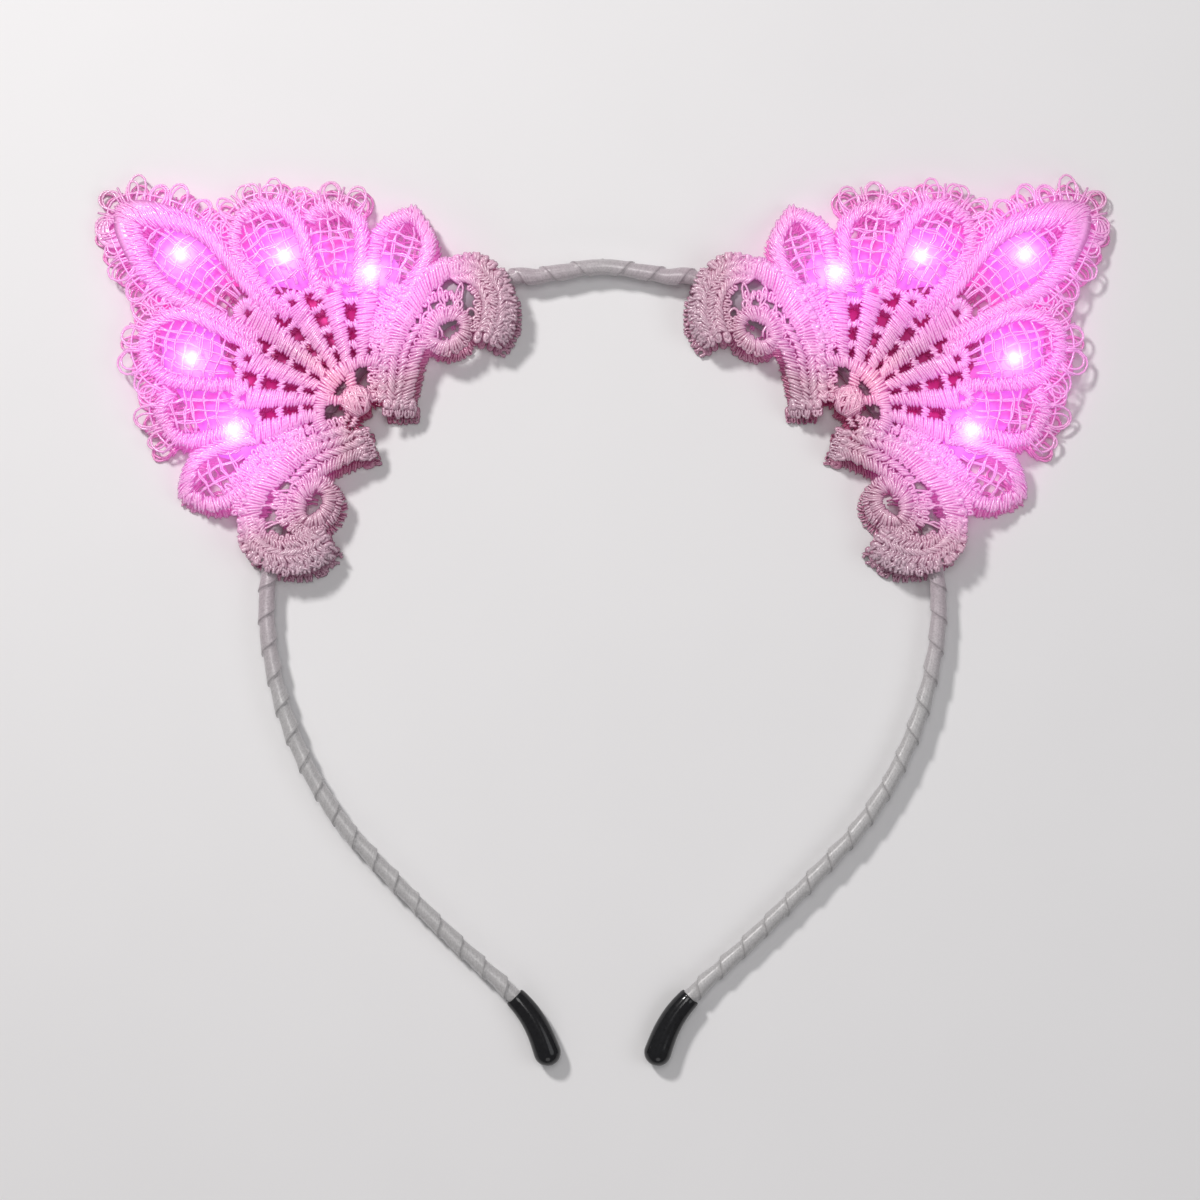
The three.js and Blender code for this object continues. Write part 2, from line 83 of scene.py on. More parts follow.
# Heights of the front lace's underside, which rises over what lies beneath it
sleeveTop = boxOf("battery_sleeve_right")[1, 2]
bandMiddle = boxOf("battery_sleeve_right")[:, 2].mean()
bandHalf = boxOf("wrapped_band")[1, 2] - bandMiddle
front = {
    "edge": boxOf("lace_back_right")[1, 2] + ear["gap"],
    "overBand": bandMiddle + bandHalf + ear["gap"],
    "overSleeve": sleeveTop + ear["gap"],
    "overLight": boxOf("light_right_1")[1, 2] + ear["gap"],
    "flat": 7.5,       # it stays up this far from the band's line or a light
    "sleeveFlat": 9,
    "fall": 11,        # and comes down over this much more
}
sleeveTurn = math.asin(ear["sleevePlace"] * ear["scrollReach"] / ear["bandRadius"])
sleeveSpot = ear["bandRadius"] * np.array([math.cos(sleeveTurn), math.sin(sleeveTurn)]) - (hubRadius, 0)


def frontHeight(points):
    # 1 up to flat, then smoothly down to 0
    def tent(gap, flat):
        share = np.clip((gap - flat) / front["fall"], 0, 1)
        return 1 - share * share * (3 - 2 * share)

    bandGap = np.abs(np.hypot(points[..., 0] + hubRadius, points[..., 1]) - ear["bandRadius"])
    sleeveGap = np.hypot(*np.moveaxis(points[..., :2] - sleeveSpot, -1, 0))
    rise = (front["overBand"] - front["edge"]) * tent(bandGap, front["flat"])
    over = (front["overSleeve"] - front["edge"]) * tent(sleeveGap, front["sleeveFlat"])
    rise = np.maximum(rise, over)
    for place in lightPlaces:
        lightGap = np.hypot(*np.moveaxis(points[..., :2] - place, -1, 0))
        rise = np.maximum(rise, (front["overLight"] - front["edge"]) * tent(lightGap, front["flat"]))
    return front["edge"] + rise


print("places worked out from the frame, middle of the head at", head)

# Camera, straight above as in the photograph, and a plain studio
studio = {
    "view": 228,              # width of the picture at the lace
    "lens": 100,
    "sensor": 36,
    "aim": (-0.475, 0),       # from the middle of the head
    "floorSize": 6000,
    "floor": (0.80, 0.79, 0.80),
    "paper": 0.97,            # the floor's darker flecks, as a share of its colour
    "world": 0.17,
}
camera = bpy.data.cameras.new("camera")
camera.lens = studio["lens"]
camera.sensor_width = studio["sensor"]
cameraObject = bpy.data.objects.new("camera", camera)
distance = studio["view"] * studio["lens"] / studio["sensor"] + bandMiddle
aim = head + studio["aim"]
cameraObject.location = (aim[0] * mm, aim[1] * mm, distance * mm)
bpy.context.collection.objects.link(cameraObject)
bpy.context.scene.camera = cameraObject
bpy.context.scene.view_settings.view_transform = "Standard"

lamps = {
    # name: place in mm, size in mm, power in watts, colour
    "key": ((-330, 420, 560), 110, 3.8, (1.0, 0.985, 0.97)),
    "above": ((0, 180, 860), 340, 1.5, (1.0, 0.99, 0.99)),
    "fill": ((460, -60, 520), 420, 0.6, (0.96, 0.975, 1.0)),
    "low": ((40, -520, 300), 300, 0.3, (1.0, 0.98, 0.98)),
}
for name, (place, size, power, tone) in lamps.items():
    lamp = bpy.data.lights.new(name, "AREA")
    lamp.shape = "DISK"
    lamp.size = size * mm
    lamp.energy = power
    lamp.color = tone
    lampObject = bpy.data.objects.new(name, lamp)
    lampObject.location = Vector(place) * mm
    lampObject.rotation_euler = (-Vector(place)).to_track_quat("-Z", "Y").to_euler()
    bpy.context.collection.objects.link(lampObject)

world = bpy.data.worlds.new("studio")
bpy.context.scene.world = world
world.use_nodes = True
sky = world.node_tree.nodes["Background"].inputs
sky["Color"].default_value = (1, 1, 1, 1)
sky["Strength"].default_value = studio["world"]


# Shader maths in plain expressions
class Term:
    def __init__(self, finish, socket):
        self.finish = finish
        self.socket = socket

    def maths(self, operation, *values):
        inputs = dict(enumerate(values))
        return self.finish.node("ShaderNodeMath", {"operation": operation}, inputs)

    def __add__(self, other):
        return self.maths("ADD", self, other)

    def __sub__(self, other):
        return self.maths("SUBTRACT", self, other)

    def __rsub__(self, other):
        return self.maths("SUBTRACT", other, self)

    def __mul__(self, other):
        return self.maths("MULTIPLY", self, other)

    def __truediv__(self, other):
        return self.maths("DIVIDE", self, other)

    def __pow__(self, other):
        return self.maths("POWER", self, other)

    __radd__ = __add__
    __rmul__ = __mul__

    def absolute(self):
        return self.maths("ABSOLUTE", self)

    def sine(self):
        return self.maths("SINE", self)

    def cosine(self):
        return self.maths("COSINE", self)

    def fraction(self):
        return self.maths("FRACT", self)

    def most(self, other):
        return self.maths("MAXIMUM", self, other)

    def clamped(self):
        return self.finish.node("ShaderNodeClamp", {}, {0: self})


class Finish:
    def __init__(self, name, **constants):
        self.material = bpy.data.materials.new(name)
        self.material.use_nodes = True
        self.tree = self.material.node_tree
        self.shader = self.tree.nodes["Principled BSDF"]
        for socket, value in constants.items():
            self.set(socket.replace("_", " "), value)

    def node(self, kind, settings=None, inputs=None, output=0):
        node = self.tree.nodes.new(kind)
        for key, value in (settings or {}).items():
            setattr(node, key, value)
        for key, value in (inputs or {}).items():
            self.feed(node.inputs[key], value)
        return Term(self, node.outputs[output])

    def feed(self, socket, value):
        if isinstance(value, Term):
            self.tree.links.new(value.socket, socket)
        else:
            socket.default_value = value

    def set(self, socket, value):
        self.feed(self.shader.inputs[socket], value)

    def mix(self, factor, first, second, blend="MIX"):
        settings = {"data_type": "RGBA", "blend_type": blend}
        return self.node("ShaderNodeMix", settings, {0: factor, 6: first, 7: second}, 2)

    def tinted(self, base, tint):
        return self.mix(1.0, base, colour(*tint), "MULTIPLY")

    def place(self):
        return self.node("ShaderNodeTexCoord", output=3)

    def along(self):
        return self.split(self.node("ShaderNodeUVMap", {"uv_map": "thread"}))

    def split(self, vector):
        separate = self.tree.nodes.new("ShaderNodeSeparateXYZ")
        self.feed(separate.inputs[0], vector)
        return [Term(self, output) for output in separate.outputs]

    def noise(self, vector, scale, detail=2):
        inputs = {"Vector": vector, "Scale": scale, "Detail": detail}
        return self.node("ShaderNodeTexNoise", {}, inputs)

    def bump(self, height, strength, distance):
        inputs = {"Height": height, "Strength": strength, "Distance": distance * mm}
        self.set("Normal", self.node("ShaderNodeBump", {}, inputs))

    # 1 at a light or another place of an ear, falling to 0 at a distance of reach, on both ears
    def glow(self, reach, places=lightPlaces):
        x, y, _ = self.split(self.place())
        flat = self.node("ShaderNodeCombineXYZ", {}, {0: x.absolute(), 1: y, 2: 0.0})
        nearest = None
        for place in aboutHead(np.array(places), 1) + head:
            spot = (place[0] * mm, place[1] * mm, 0)
            inputs = {0: flat, 1: spot}
            gap = self.node("ShaderNodeVectorMath", {"operation": "DISTANCE"}, inputs, 1)
            level = (1 - gap / (reach * mm)).clamped()
            nearest = level if nearest is None else nearest.most(level)
        return nearest


def colour(red, green, blue):
    return (red, green, blue, 1)


# Lace thread: pale pink, with painted glow near the lights in its base colour and emission, and painted shade
# down its sides
laceLook = {
    "wide": 34, "close": 21.5, "core": 4.0,    # how far from a light each colour of painted glow carries, mm
    "hub": (6, 0), "hubReach": 18,             # the arch at the hub has painted glow too
    "round": 1.8,                              # how fast the painted shade deepens down a thread's sides
    "mottle": 700, "fibre": 9000,              # specks to a metre
    "twist": 1.4,                              # turns of the ply to a millimetre
    "bump": (0.6, 0.08),                       # strength, and depth in mm
    "shadeReach": 26,                          # the back layer is in shade round the fan's middle
    "shade": (0.55, 0.18, 0.32),
    # painted shade: the back layer's thread is a darker, pinker copy of the front's, standing for the front
    # layer's shade
    "backShadeTint": (0.94, 0.72, 0.82),
    "coreLight": (1.5, 1.2, 1.5),
    # (painted shade down the sides, painted light on top) of a thread: far from a light, within its painted
    # glow, close to it
    "base": [((0.09, 0.04, 0.06), (0.49, 0.37, 0.435)), ((0.56, 0.17, 0.34), (0.92, 0.52, 0.67)),
             ((0.6, 0.12, 0.45), (0.76, 0.32, 0.68))],
    "lit": [((0.0, 0.0, 0.0), (0.0, 0.0, 0.0)), ((0.17, 0.005, 0.07), (0.2, 0.05, 0.125)),
            ((0.46, 0.04, 0.36), (0.44, 0.15, 0.45))],
}


def laceFinish(name, tint, shaded):
    finish = Finish(name, Roughness=0.26, Coat_Weight=1.0, Coat_Roughness=0.17, Emission_Strength=1.0)
    wide = finish.glow(laceLook["wide"]).most(finish.glow(laceLook["hubReach"], [laceLook["hub"]]))
    close = (finish.glow(laceLook["close"]) * 1.5).clamped()
    core = finish.glow(laceLook["core"])
    along, around, _ = finish.along()
    # painted light on a thread's top, fading to painted shade down its sides
    paintedTopLight = ((around * (2 * math.pi)).cosine() * 0.5 + 0.5) ** laceLook["round"]
    mottle = finish.noise(finish.place(), laceLook["mottle"])
    wide = (wide * 1.15 + (mottle - 0.5) * 0.25).clamped()
    shade = (finish.glow(laceLook["shadeReach"], [(ear["fanMiddle"], 0)]) * 2.2).clamped()

    def shades(key):
        rows = [[colour(*(np.array(value) * tint)) for value in pair] for pair in laceLook[key]]
        far, within, near = [finish.mix(paintedTopLight, *pair) for pair in rows]
        lit = finish.mix(close, finish.mix(wide, far, within), near)
        return finish.mix(shade, lit, finish.tinted(lit, laceLook["shade"])) if shaded else lit

    finish.set("Base Color", shades("base"))
    coreLight = colour(*laceLook["coreLight"])
    # painted glow: the thread shines by itself near the lights, white at a light's core
    finish.set("Emission Color", finish.mix(core * core, shades("lit"), coreLight))
    ply = ((along * laceLook["twist"] + around) * (2 * math.pi)).sine()
    fibre = finish.noise(finish.place(), laceLook["fibre"])
    finish.bump(ply * 0.5 + fibre * 0.6, *laceLook["bump"])
    return finish.material


finishes = {
    "laceFront": laceFinish("laceFront", (1, 1, 1), False),
    # the back layer's finish: the front's with painted shade, darker all over and more so round the fan
    "laceBack": laceFinish("laceBack", laceLook["backShadeTint"], True),
}

# Ribbon of the wound band: satin that shines along the winding, partly by its roughness and partly by painted
# sheen streaks in its colour
ribbonLook = {
    "winding": 5.8,                   # from one ribbon edge to the next, mm
    "edge": 0.93,                     # the painted shade line beside an edge's step starts at this share of the winding
    "grain": 3200, "weave": 30,
    # dark and light: the ends of the painted sheen streaks over the grain; line: the painted shade at each edge
    "dark": (0.3, 0.292, 0.296), "light": (0.56, 0.545, 0.55), "line": (0.13, 0.12, 0.125),
    "pink": (1, 0.68, 0.86), "pinkGlowReach": 52,       # painted pink glow, strongest towards the lights
    "shade": (0.42, 0.2, 0.32), "shadeReach": 14, "shadePlace": (3.6, 0),    # behind the hub's lace
    "rough": (0.22, 0.16),            # least, and how much more at most
    "bump": (0.6, 0.07),
}


def ribbonFinish():
    finish = Finish("ribbon", Roughness=0.4, Sheen_Weight=0.2, Coat_Weight=0.4, Coat_Roughness=0.3)
    across, along, _ = finish.along()
    streakPlace = finish.node("ShaderNodeCombineXYZ", {}, {0: across * 3, 1: along * 0.25, 2: 0.0})
    streak = finish.noise(streakPlace, 2.0, 3)
    grain = finish.noise(finish.place(), ribbonLook["grain"], 2)
    weave = (across * ribbonLook["weave"]).sine() * 0.5 + 0.5
    # painted shade: a dark line at each ribbon edge, where one winding steps over the next
    edge = ((across / ribbonLook["winding"]).fraction() - ribbonLook["edge"]).clamped() * 12
    # painted sheen streaks mixed with the ribbon's own grain
    paintedSheenAndGrain = (streak + (grain - 0.5) * 1.1).clamped()
    base = finish.mix(paintedSheenAndGrain, colour(*ribbonLook["dark"]), colour(*ribbonLook["light"]))
    base = finish.mix(edge.clamped() * 0.6, base, colour(*ribbonLook["line"]))
    # painted pink glow from the lights
    near = finish.glow(ribbonLook["pinkGlowReach"])
    base = finish.mix(near, base, finish.tinted(base, ribbonLook["pink"]))
    hidden = (finish.glow(ribbonLook["shadeReach"], [ribbonLook["shadePlace"]]) * 2).clamped()
    finish.set("Base Color", finish.mix(hidden, base, finish.tinted(base, ribbonLook["shade"])))
    rough, rougher = ribbonLook["rough"]
    finish.set("Roughness", rough + streak * rougher)
    finish.bump(weave * 0.3 + streak + grain * 0.5, *ribbonLook["bump"])
    return finish.material


# Finishes with one grain in them: its specks to a metre, two colours, roughness as for the ribbon, bump
plainLooks = {
    "rubber": (1400, (0.006, 0.006, 0.007), (0.016, 0.016, 0.018), (0.11, 0.1), (0.12, 0.03)),
    "sleeve": (260, (0.3, 0.235, 0.29), (0.42, 0.34, 0.405), (0.38, 0.2), (0.35, 0.25)),
}


def plainFinish(name, **constants):
    finish = Finish(name, **constants)
    specks, dark, light, (rough, rougher), bump = plainLooks[name]
    grain = finish.noise(finish.place(), specks, 3)
    finish.set("Base Color", finish.mix(grain, colour(*dark), colour(*light)))
    finish.set("Roughness", rough + grain * rougher)
    finish.bump(grain, *bump)
    return finish.material


# Finishes that shine by themselves, the lights as lamps and the wire and film with painted glow from them: base
# colours and shining colours, far from the glow's middle and in it
glowLooks = {
    "light": ((0.3, 0.1, 0.3), (0.4, 0.2, 0.4), (0.68, 0.26, 0.8), (1.2, 1.0, 1.2)),
    "wire": ((0.72, 0.34, 0.55), (0.85, 0.55, 0.72), (0.04, 0, 0.02), (0.55, 0.12, 0.55)),
    "film": ((0.6, 0.05, 0.22), (0.5, 0.12, 0.6), (0.75, 0.02, 0.24), (0.7, 0.16, 0.9)),
    "filmCore": (1.9, 1.25, 2.0),
    "lightReach": 2.1, "filmReach": 13, "coreReach": 6,
    "haze": 1200, "speck": 700, "cloud": 420,
}


def lightFinish():
    finish = Finish("light", Roughness=0.2, Emission_Strength=1.0)
    dark, light, dim, bright = [colour(*value) for value in glowLooks["light"]]
    haze = finish.noise(finish.place(), glowLooks["haze"])
    middle = (finish.glow(glowLooks["lightReach"]) * 1.5 + (haze - 0.5) * 0.2).clamped()
    finish.set("Base Color", finish.mix(haze, dark, light))
    finish.set("Emission Color", finish.mix(middle, dim, bright))
    return finish.material


def wireFinish():
    finish = Finish("wire", Roughness=0.3, Emission_Strength=1.0)
    dark, light, dim, bright = [colour(*value) for value in glowLooks["wire"]]
    speck = finish.noise(finish.place(), glowLooks["speck"])
    close = (finish.glow(laceLook["close"]) * 1.5).clamped()
    finish.set("Base Color", finish.mix(speck, dark, light))
    # painted glow: the wire shines pink near the lights
    finish.set("Emission Color", finish.mix(close, dim, bright))
    finish.bump(speck, 0.2, 0.05)
    return finish.material


def filmFinish():
    finish = Finish("film", Roughness=0.3, Emission_Strength=0.7)
    dark, light, dim, bright = [colour(*value) for value in glowLooks["film"]]
    cloud = finish.noise(finish.place(), glowLooks["cloud"], 3)
    # painted glow: the film's colour and its shining turn violet near the lights, white at their cores
    near = (finish.glow(glowLooks["filmReach"]) * 1.5 + (cloud - 0.5) * 0.6).clamped()
    finish.set("Base Color", finish.mix(near, dark, light))
    core = finish.glow(glowLooks["coreReach"])
    lit = finish.mix(core * core, finish.mix(near, dim, bright), colour(*glowLooks["filmCore"]))
    finish.set("Emission Color", lit)
    finish.bump(cloud, 0.25, 0.3)
    return finish.material


# Plain and pale; under the fan of each ear it has the colour of the light that falls on it there
floorLook = {
    "fan": [(17, 0), (13, 11), (13, -11)], "fanReach": 12.5,
    "dim": (0.3, 0.07, 0.15), "lit": (0.9, 0.07, 0.42), "litReach": 27,
}


def floorFinish():
    finish = Finish("floor", Roughness=0.7)
    paper = finish.noise(finish.place(), 30, 2)
    light = colour(*studio["floor"])
    dark = colour(*(studio["paper"] * value for value in studio["floor"]))
    under = (finish.glow(floorLook["fanReach"], floorLook["fan"]) * 3.5).clamped()
    near = (finish.glow(floorLook["litReach"]) * 1.7).clamped()
    lit = finish.mix(near, colour(*floorLook["dim"]), colour(*floorLook["lit"]))
    finish.set("Base Color", finish.mix(under, finish.mix(paper, light, dark), lit))
    return finish.material


finishes["ribbon"] = ribbonFinish()
finishes["rubber"] = plainFinish("rubber", IOR=1.38, Coat_Weight=0.1, Coat_Roughness=0.05)
finishes["sleeve"] = plainFinish("sleeve")
finishes["light"] = lightFinish()
finishes["wire"] = wireFinish()
finishes["film"] = filmFinish()

bpy.ops.mesh.primitive_plane_add(size=studio["floorSize"] * mm)
floor = bpy.context.object
floor.name = "floor"
floor.data.materials.append(floorFinish())
print("camera, studio and finishes ready")


# A smooth line through points, and other help with paths, which are rows of places
def spline(points, perSpan=12):
    knots = np.asarray(points, float)
    knots = np.vstack([2 * knots[0] - knots[1], knots, 2 * knots[-1] - knots[-2]])
    t = np.linspace(0, 1, perSpan, endpoint=False)[:, None]
    spans = []
    for i in range(1, len(knots) - 2):
        a, b, c, d = knots[i - 1:i + 3]
        bend = (2 * a - 5 * b + 4 * c - d) * t**2 + (3 * b - a - 3 * c + d) * t**3
        spans.append(b + 0.5 * ((c - a) * t + bend))
    return np.vstack([*spans, knots[-2:-1]])


def lengthOf(path):
    return np.linalg.norm(np.diff(path, axis=0), axis=1).sum()


def atShares(path, shares):
    steps = np.linalg.norm(np.diff(path, axis=0), axis=1)
    along = np.concatenate([[0], np.cumsum(steps)])
    wanted = np.asarray(shares) * along[-1]
    return np.stack([np.interp(wanted, along, column) for column in path.T], axis=-1)


def evenly(path, count):
    return atShares(path, np.linspace(0, 1, count))


def normals(path):
    ahead = np.gradient(path, axis=0)
    ahead /= np.linalg.norm(ahead, axis=1, keepdims=True)
    return np.stack([-ahead[:, 1], ahead[:, 0]], axis=1)


def beside(path, gap):
    gap = np.broadcast_to(np.asarray(gap, float), (len(path),))
    return path + normals(path) * gap[:, None]


def turnedBy(path, degrees):
    turn = math.radians(degrees)
    x, y = path[..., 0], path[..., 1]
    across = x * math.cos(turn) - y * math.sin(turn)
    return np.stack([across, x * math.sin(turn) + y * math.cos(turn)], axis=-1)


def inside(points, outline):
    x, y = points[..., 0], points[..., 1]
    hit = np.zeros(x.shape, bool)
    for (x1, y1), (x2, y2) in zip(outline, np.roll(outline, -1, axis=0)):
        if y1 == y2:
            continue
        hit ^= ((y1 > y) != (y2 > y)) & (x < x1 + (y - y1) * (x2 - x1) / (y2 - y1))
    return hit


# Threads: batches of paths (out, across, height above the lace's underside) with their thickness
class Threads:
    def __init__(self, seed, sides):
        self.random = np.random.default_rng(seed)
        self.sides = sides
        self.batches = []

    def add(self, paths, radius, flat=1, sides=None):
        paths = np.asarray(paths, float)
        if paths.ndim == 2:
            paths = paths[None]
        radius = np.broadcast_to(np.asarray(radius, float), paths.shape[:2])
        self.batches.append((paths, radius, flat, sides or self.sides))

    def jitter(self, shape, amount):
        return self.random.uniform(-amount, amount, shape)

    # Smooth wandering of a thread to either side of its line
    def wander(self, count, points, amount):
        t = np.linspace(0, 1, points)
        total = np.zeros((count, points))
        for waves in (1.3, 2.9, 4.7):
            phase = self.random.uniform(0, 2 * math.pi, (count, 1))
            total += np.sin(2 * math.pi * waves * t + phase) * amount / waves
        return total

    # Satin stitches side by side, from one edge of a cord to the other over its padding
    def satin(self, inner, outer, pitch, radius, crown, ragged=0.16, slant=0.0, core=True, base=0.2):
        span = max(lengthOf(inner), lengthOf(outer))
        count = max(3, round(span / pitch))
        shares = (np.arange(count) + 0.5 + self.jitter(count, 0.22)) / count
        lean = (slant + self.jitter(count, 0.3)) / span
        start = atShares(inner, np.clip(shares - lean, 0, 1))
        end = atShares(outer, np.clip(shares + lean, 0, 1))
        across = end - start
        width = np.linalg.norm(across, axis=1, keepdims=True) + 1e-6
        start = start - across / width * self.jitter((count, 1), ragged)
        end = end + across / width * self.jitter((count, 1), ragged)
        shareAcross = np.array([0, 0.13, 0.5, 0.87, 1])
        lift = np.array([0, 0.62, 1, 0.62, 0])
        flatPath = start[:, None] + (end - start)[:, None] * shareAcross[None, :, None]
        high = base + (crown + self.jitter((count, 1), 0.07)) * lift[None]
        paths = np.concatenate([flatPath, high[..., None]], axis=-1)
        paths[:, 2, :2] += self.jitter((count, 2), 0.05)
        thick = radius * np.array([0.7, 1, 1.02, 1, 0.7])[None] * (1 + self.jitter((count, 1), 0.14))
        self.add(paths, thick)
        if core:
            middle = evenly((evenly(inner, 60) + evenly(outer, 60)) / 2, max(6, round(span / 1.5)))
            half = np.linalg.norm(evenly(inner, len(middle)) - evenly(outer, len(middle)), axis=1) * 0.42
            path = np.concatenate([middle, np.full((len(middle), 1), 0.32)], axis=1)
            self.add(path, half[None], flat=0.3 / max(half.mean(), 0.3), sides=6)

    # Doubled stitches that turn back at the outer edge, like fingers side by side
    def fingers(self, inner, outer, pitch, radius, crown, spread=0.24, base=0.2, ragged=0.45, slant=0.5):
        span = max(lengthOf(inner), lengthOf(outer))
        count = max(3, round(span / pitch))
        shares = (np.arange(count) + 0.5 + self.jitter(count, 0.2)) / count
        lean = self.wander(1, count, slant)[0] / span + self.jitter(count, 0.2) / span
        start = atShares(inner, np.clip(shares - lean, 0, 1))
        end = atShares(outer, np.clip(shares + lean, 0, 1))
        across = end - start
        width = np.linalg.norm(across, axis=1, keepdims=True) + 1e-6
        across /= width
        aside = np.stack([-across[:, 1], across[:, 0]], axis=1) * spread * pitch
        start = start - across * self.jitter((count, 1), ragged)
        width = width + self.jitter((count, 1), 0.4 * ragged)
        shareAcross = np.array([0, 0.25, 0.6, 0.86, 0.97, 1.02, 0.97, 0.86, 0.6, 0.25, 0])
        shareAside = np.array([-0.8, -0.95, -1, -1, -0.75, 0, 0.75, 1, 1, 0.95, 0.8])
        lift = np.array([0, 0.7, 1, 0.78, 0.42, 0.3, 0.42, 0.78, 1, 0.7, 0])
        flatPath = (start[:, None] + (across * width)[:, None] * shareAcross[None, :, None]
                    + aside[:, None] * shareAside[None, :, None])
        high = base + (crown + self.jitter((count, 1), 0.16)) * lift[None]
        paths = np.concatenate([flatPath, high[..., None]], axis=-1)
        self.add(paths, radius * (1 + self.jitter((count, 1), 0.14)) * np.ones((1, 11)))

    # Loops that stand out side by side from a line, on its left where outward is 1
    def loops(self, path, pitch, wide, high, radius, outward,
              foot=0.6, base=0.45, uneven=0.12, points=11, sides=None):
        count = max(2, round(lengthOf(path) / pitch))
        at = evenly(path, 2 * count + 1)
        centre = at[1::2] + self.jitter((count, 2), 0.12 * pitch)
        out = outward * normals(at)[1::2]
        ahead = np.stack([out[:, 1], -out[:, 0]], axis=1)
        swing = np.radians(np.linspace(-122, 122, points)) + self.jitter((count, points), 0.7 * uneven)
        wide = wide * (1 + self.jitter((count, 1), 1.4 * uneven))
        high = high * (1 + self.jitter((count, 1), 1.4 * uneven))
        aside = wide / 2 * np.sin(swing)
        up = high * (0.42 + 0.58 * np.cos(swing))
        aside += self.jitter((count, 1), 1.6 * uneven) * up / 2 + self.jitter((count, points), 0.3 * uneven)
        aside = np.concatenate([aside[:, :1] * 0.7, aside, aside[:, -1:] * 0.7], axis=1)
        up = np.concatenate([np.full((count, 1), -foot), up, np.full((count, 1), -foot)], axis=1)
        paths = centre[:, None] + ahead[:, None] * aside[..., None] + out[:, None] * up[..., None]
        lift = base + self.wander(count, points + 2, 0.14)
        self.add(np.concatenate([paths, lift[..., None]], axis=-1), radius, sides=sides)

    # A knobby row: one thread that runs from side to side of its line
    def zigzag(self, path, width, pitch, radius, base=0.3, crown=0.5, uneven=0.16):
        turns = max(2, round(lengthOf(path) / pitch))
        count = 4 * turns + 1
        middle = evenly(path, count)
        beat = np.arange(count) * math.pi / 2
        aside = np.cos(beat) * width / 2 + self.jitter(count, uneven)
        high = base + crown * np.abs(np.sin(beat)) + self.jitter(count, 0.12)
        flatPath = beside(middle, aside) + self.jitter((count, 2), 0.7 * uneven)
        self.add(np.concatenate([flatPath, high[:, None]], axis=1), radius)

    # A row of small knots, turned out to both sides of its line
    def braid(self, path, pitch=1.1, radius=0.3, high=0.95, base=0.55):
        for outward in (1, -1):
            self.loops(path, pitch, 0.66, high, radius, outward,
                       foot=0.25, base=base + 0.07 * outward, uneven=0.26, points=6)

    # Slanting stitches over a line
    def rope(self, path, width=1.5, slant=0.7, base=0.3):
        self.satin(beside(path, -width / 2), beside(path, width / 2), pitch=0.7, radius=0.34, crown=0.55,
                   ragged=0.3, slant=slant, core=False, base=base)

    # Fat round knobs that stand out side by side from a line
    def knobs(self, path, outward, pitch=1.9, base=0.5):
        self.loops(path, pitch, wide=0.74, high=1.35, radius=0.47, outward=outward,
                   foot=0.25, base=base, uneven=0.08, points=9, sides=6)
        self.loops(path, pitch, wide=0.2, high=0.8, radius=0.44, outward=outward,
                   foot=0.25, base=base + 0.25, uneven=0.08, points=5, sides=6)

    # Short thick stitches that lie every way along a line, as in the tangled rows of the scrolls
    def tangle(self, path, width, perMillimetre, radius, base=0.55, long=1.7):
        count = max(3, round(lengthOf(path) * perMillimetre))
        shares = (np.arange(count) + 0.5 + self.jitter(count, 0.5)) / count
        centre = atShares(path, shares)
        side = atShares(normals(path), shares)
        centre = centre + side * self.jitter((count, 1), width / 2)
        turn = self.jitter(count, 0.95)
        across = np.stack([side[:, 0] * np.cos(turn) - side[:, 1] * np.sin(turn),
                           side[:, 0] * np.sin(turn) + side[:, 1] * np.cos(turn)], axis=1)
        half = long / 2 * (1 + self.jitter((count, 1), 0.3))
        bow = np.stack([-across[:, 1], across[:, 0]], axis=1) * self.jitter((count, 1), 0.45)
        steps = np.array([-1, -0.8, 0, 0.8, 1])
        lift = np.array([-0.5, 0, 0.34, 0, -0.5])
        bowed = np.array([0, 0.3, 1, 0.3, 0])
        flatPath = centre[:, None] + (across * half)[:, None] * steps[None, :, None]
        flatPath += bow[:, None] * bowed[None, :, None]
        high = base + self.jitter((count, 1), 0.16) + lift[None]
        thick = radius * np.array([0.7, 1, 1, 1, 0.7])[None] * (1 + self.jitter((count, 1), 0.15))
        self.add(np.concatenate([flatPath, high[..., None]], axis=-1), thick)

    # One or more threads that run loosely along a line
    def strand(self, path, radius, base=0.4, points=12, wander=0.12, strands=2, spread=0.2):
        line = evenly(np.asarray(path, float), points)
        aside = self.wander(strands, points, wander)
        weave = self.wander(strands, points, 0.1)
        for index in range(strands):
            shift = aside[index] + spread * (index - (strands - 1) / 2) * np.cos(np.linspace(0, 5, points))
            flatPath = beside(line, shift)
            high = base + weave[index] + 0.12 * index
            self.add(np.concatenate([flatPath, high[:, None]], axis=1), radius)


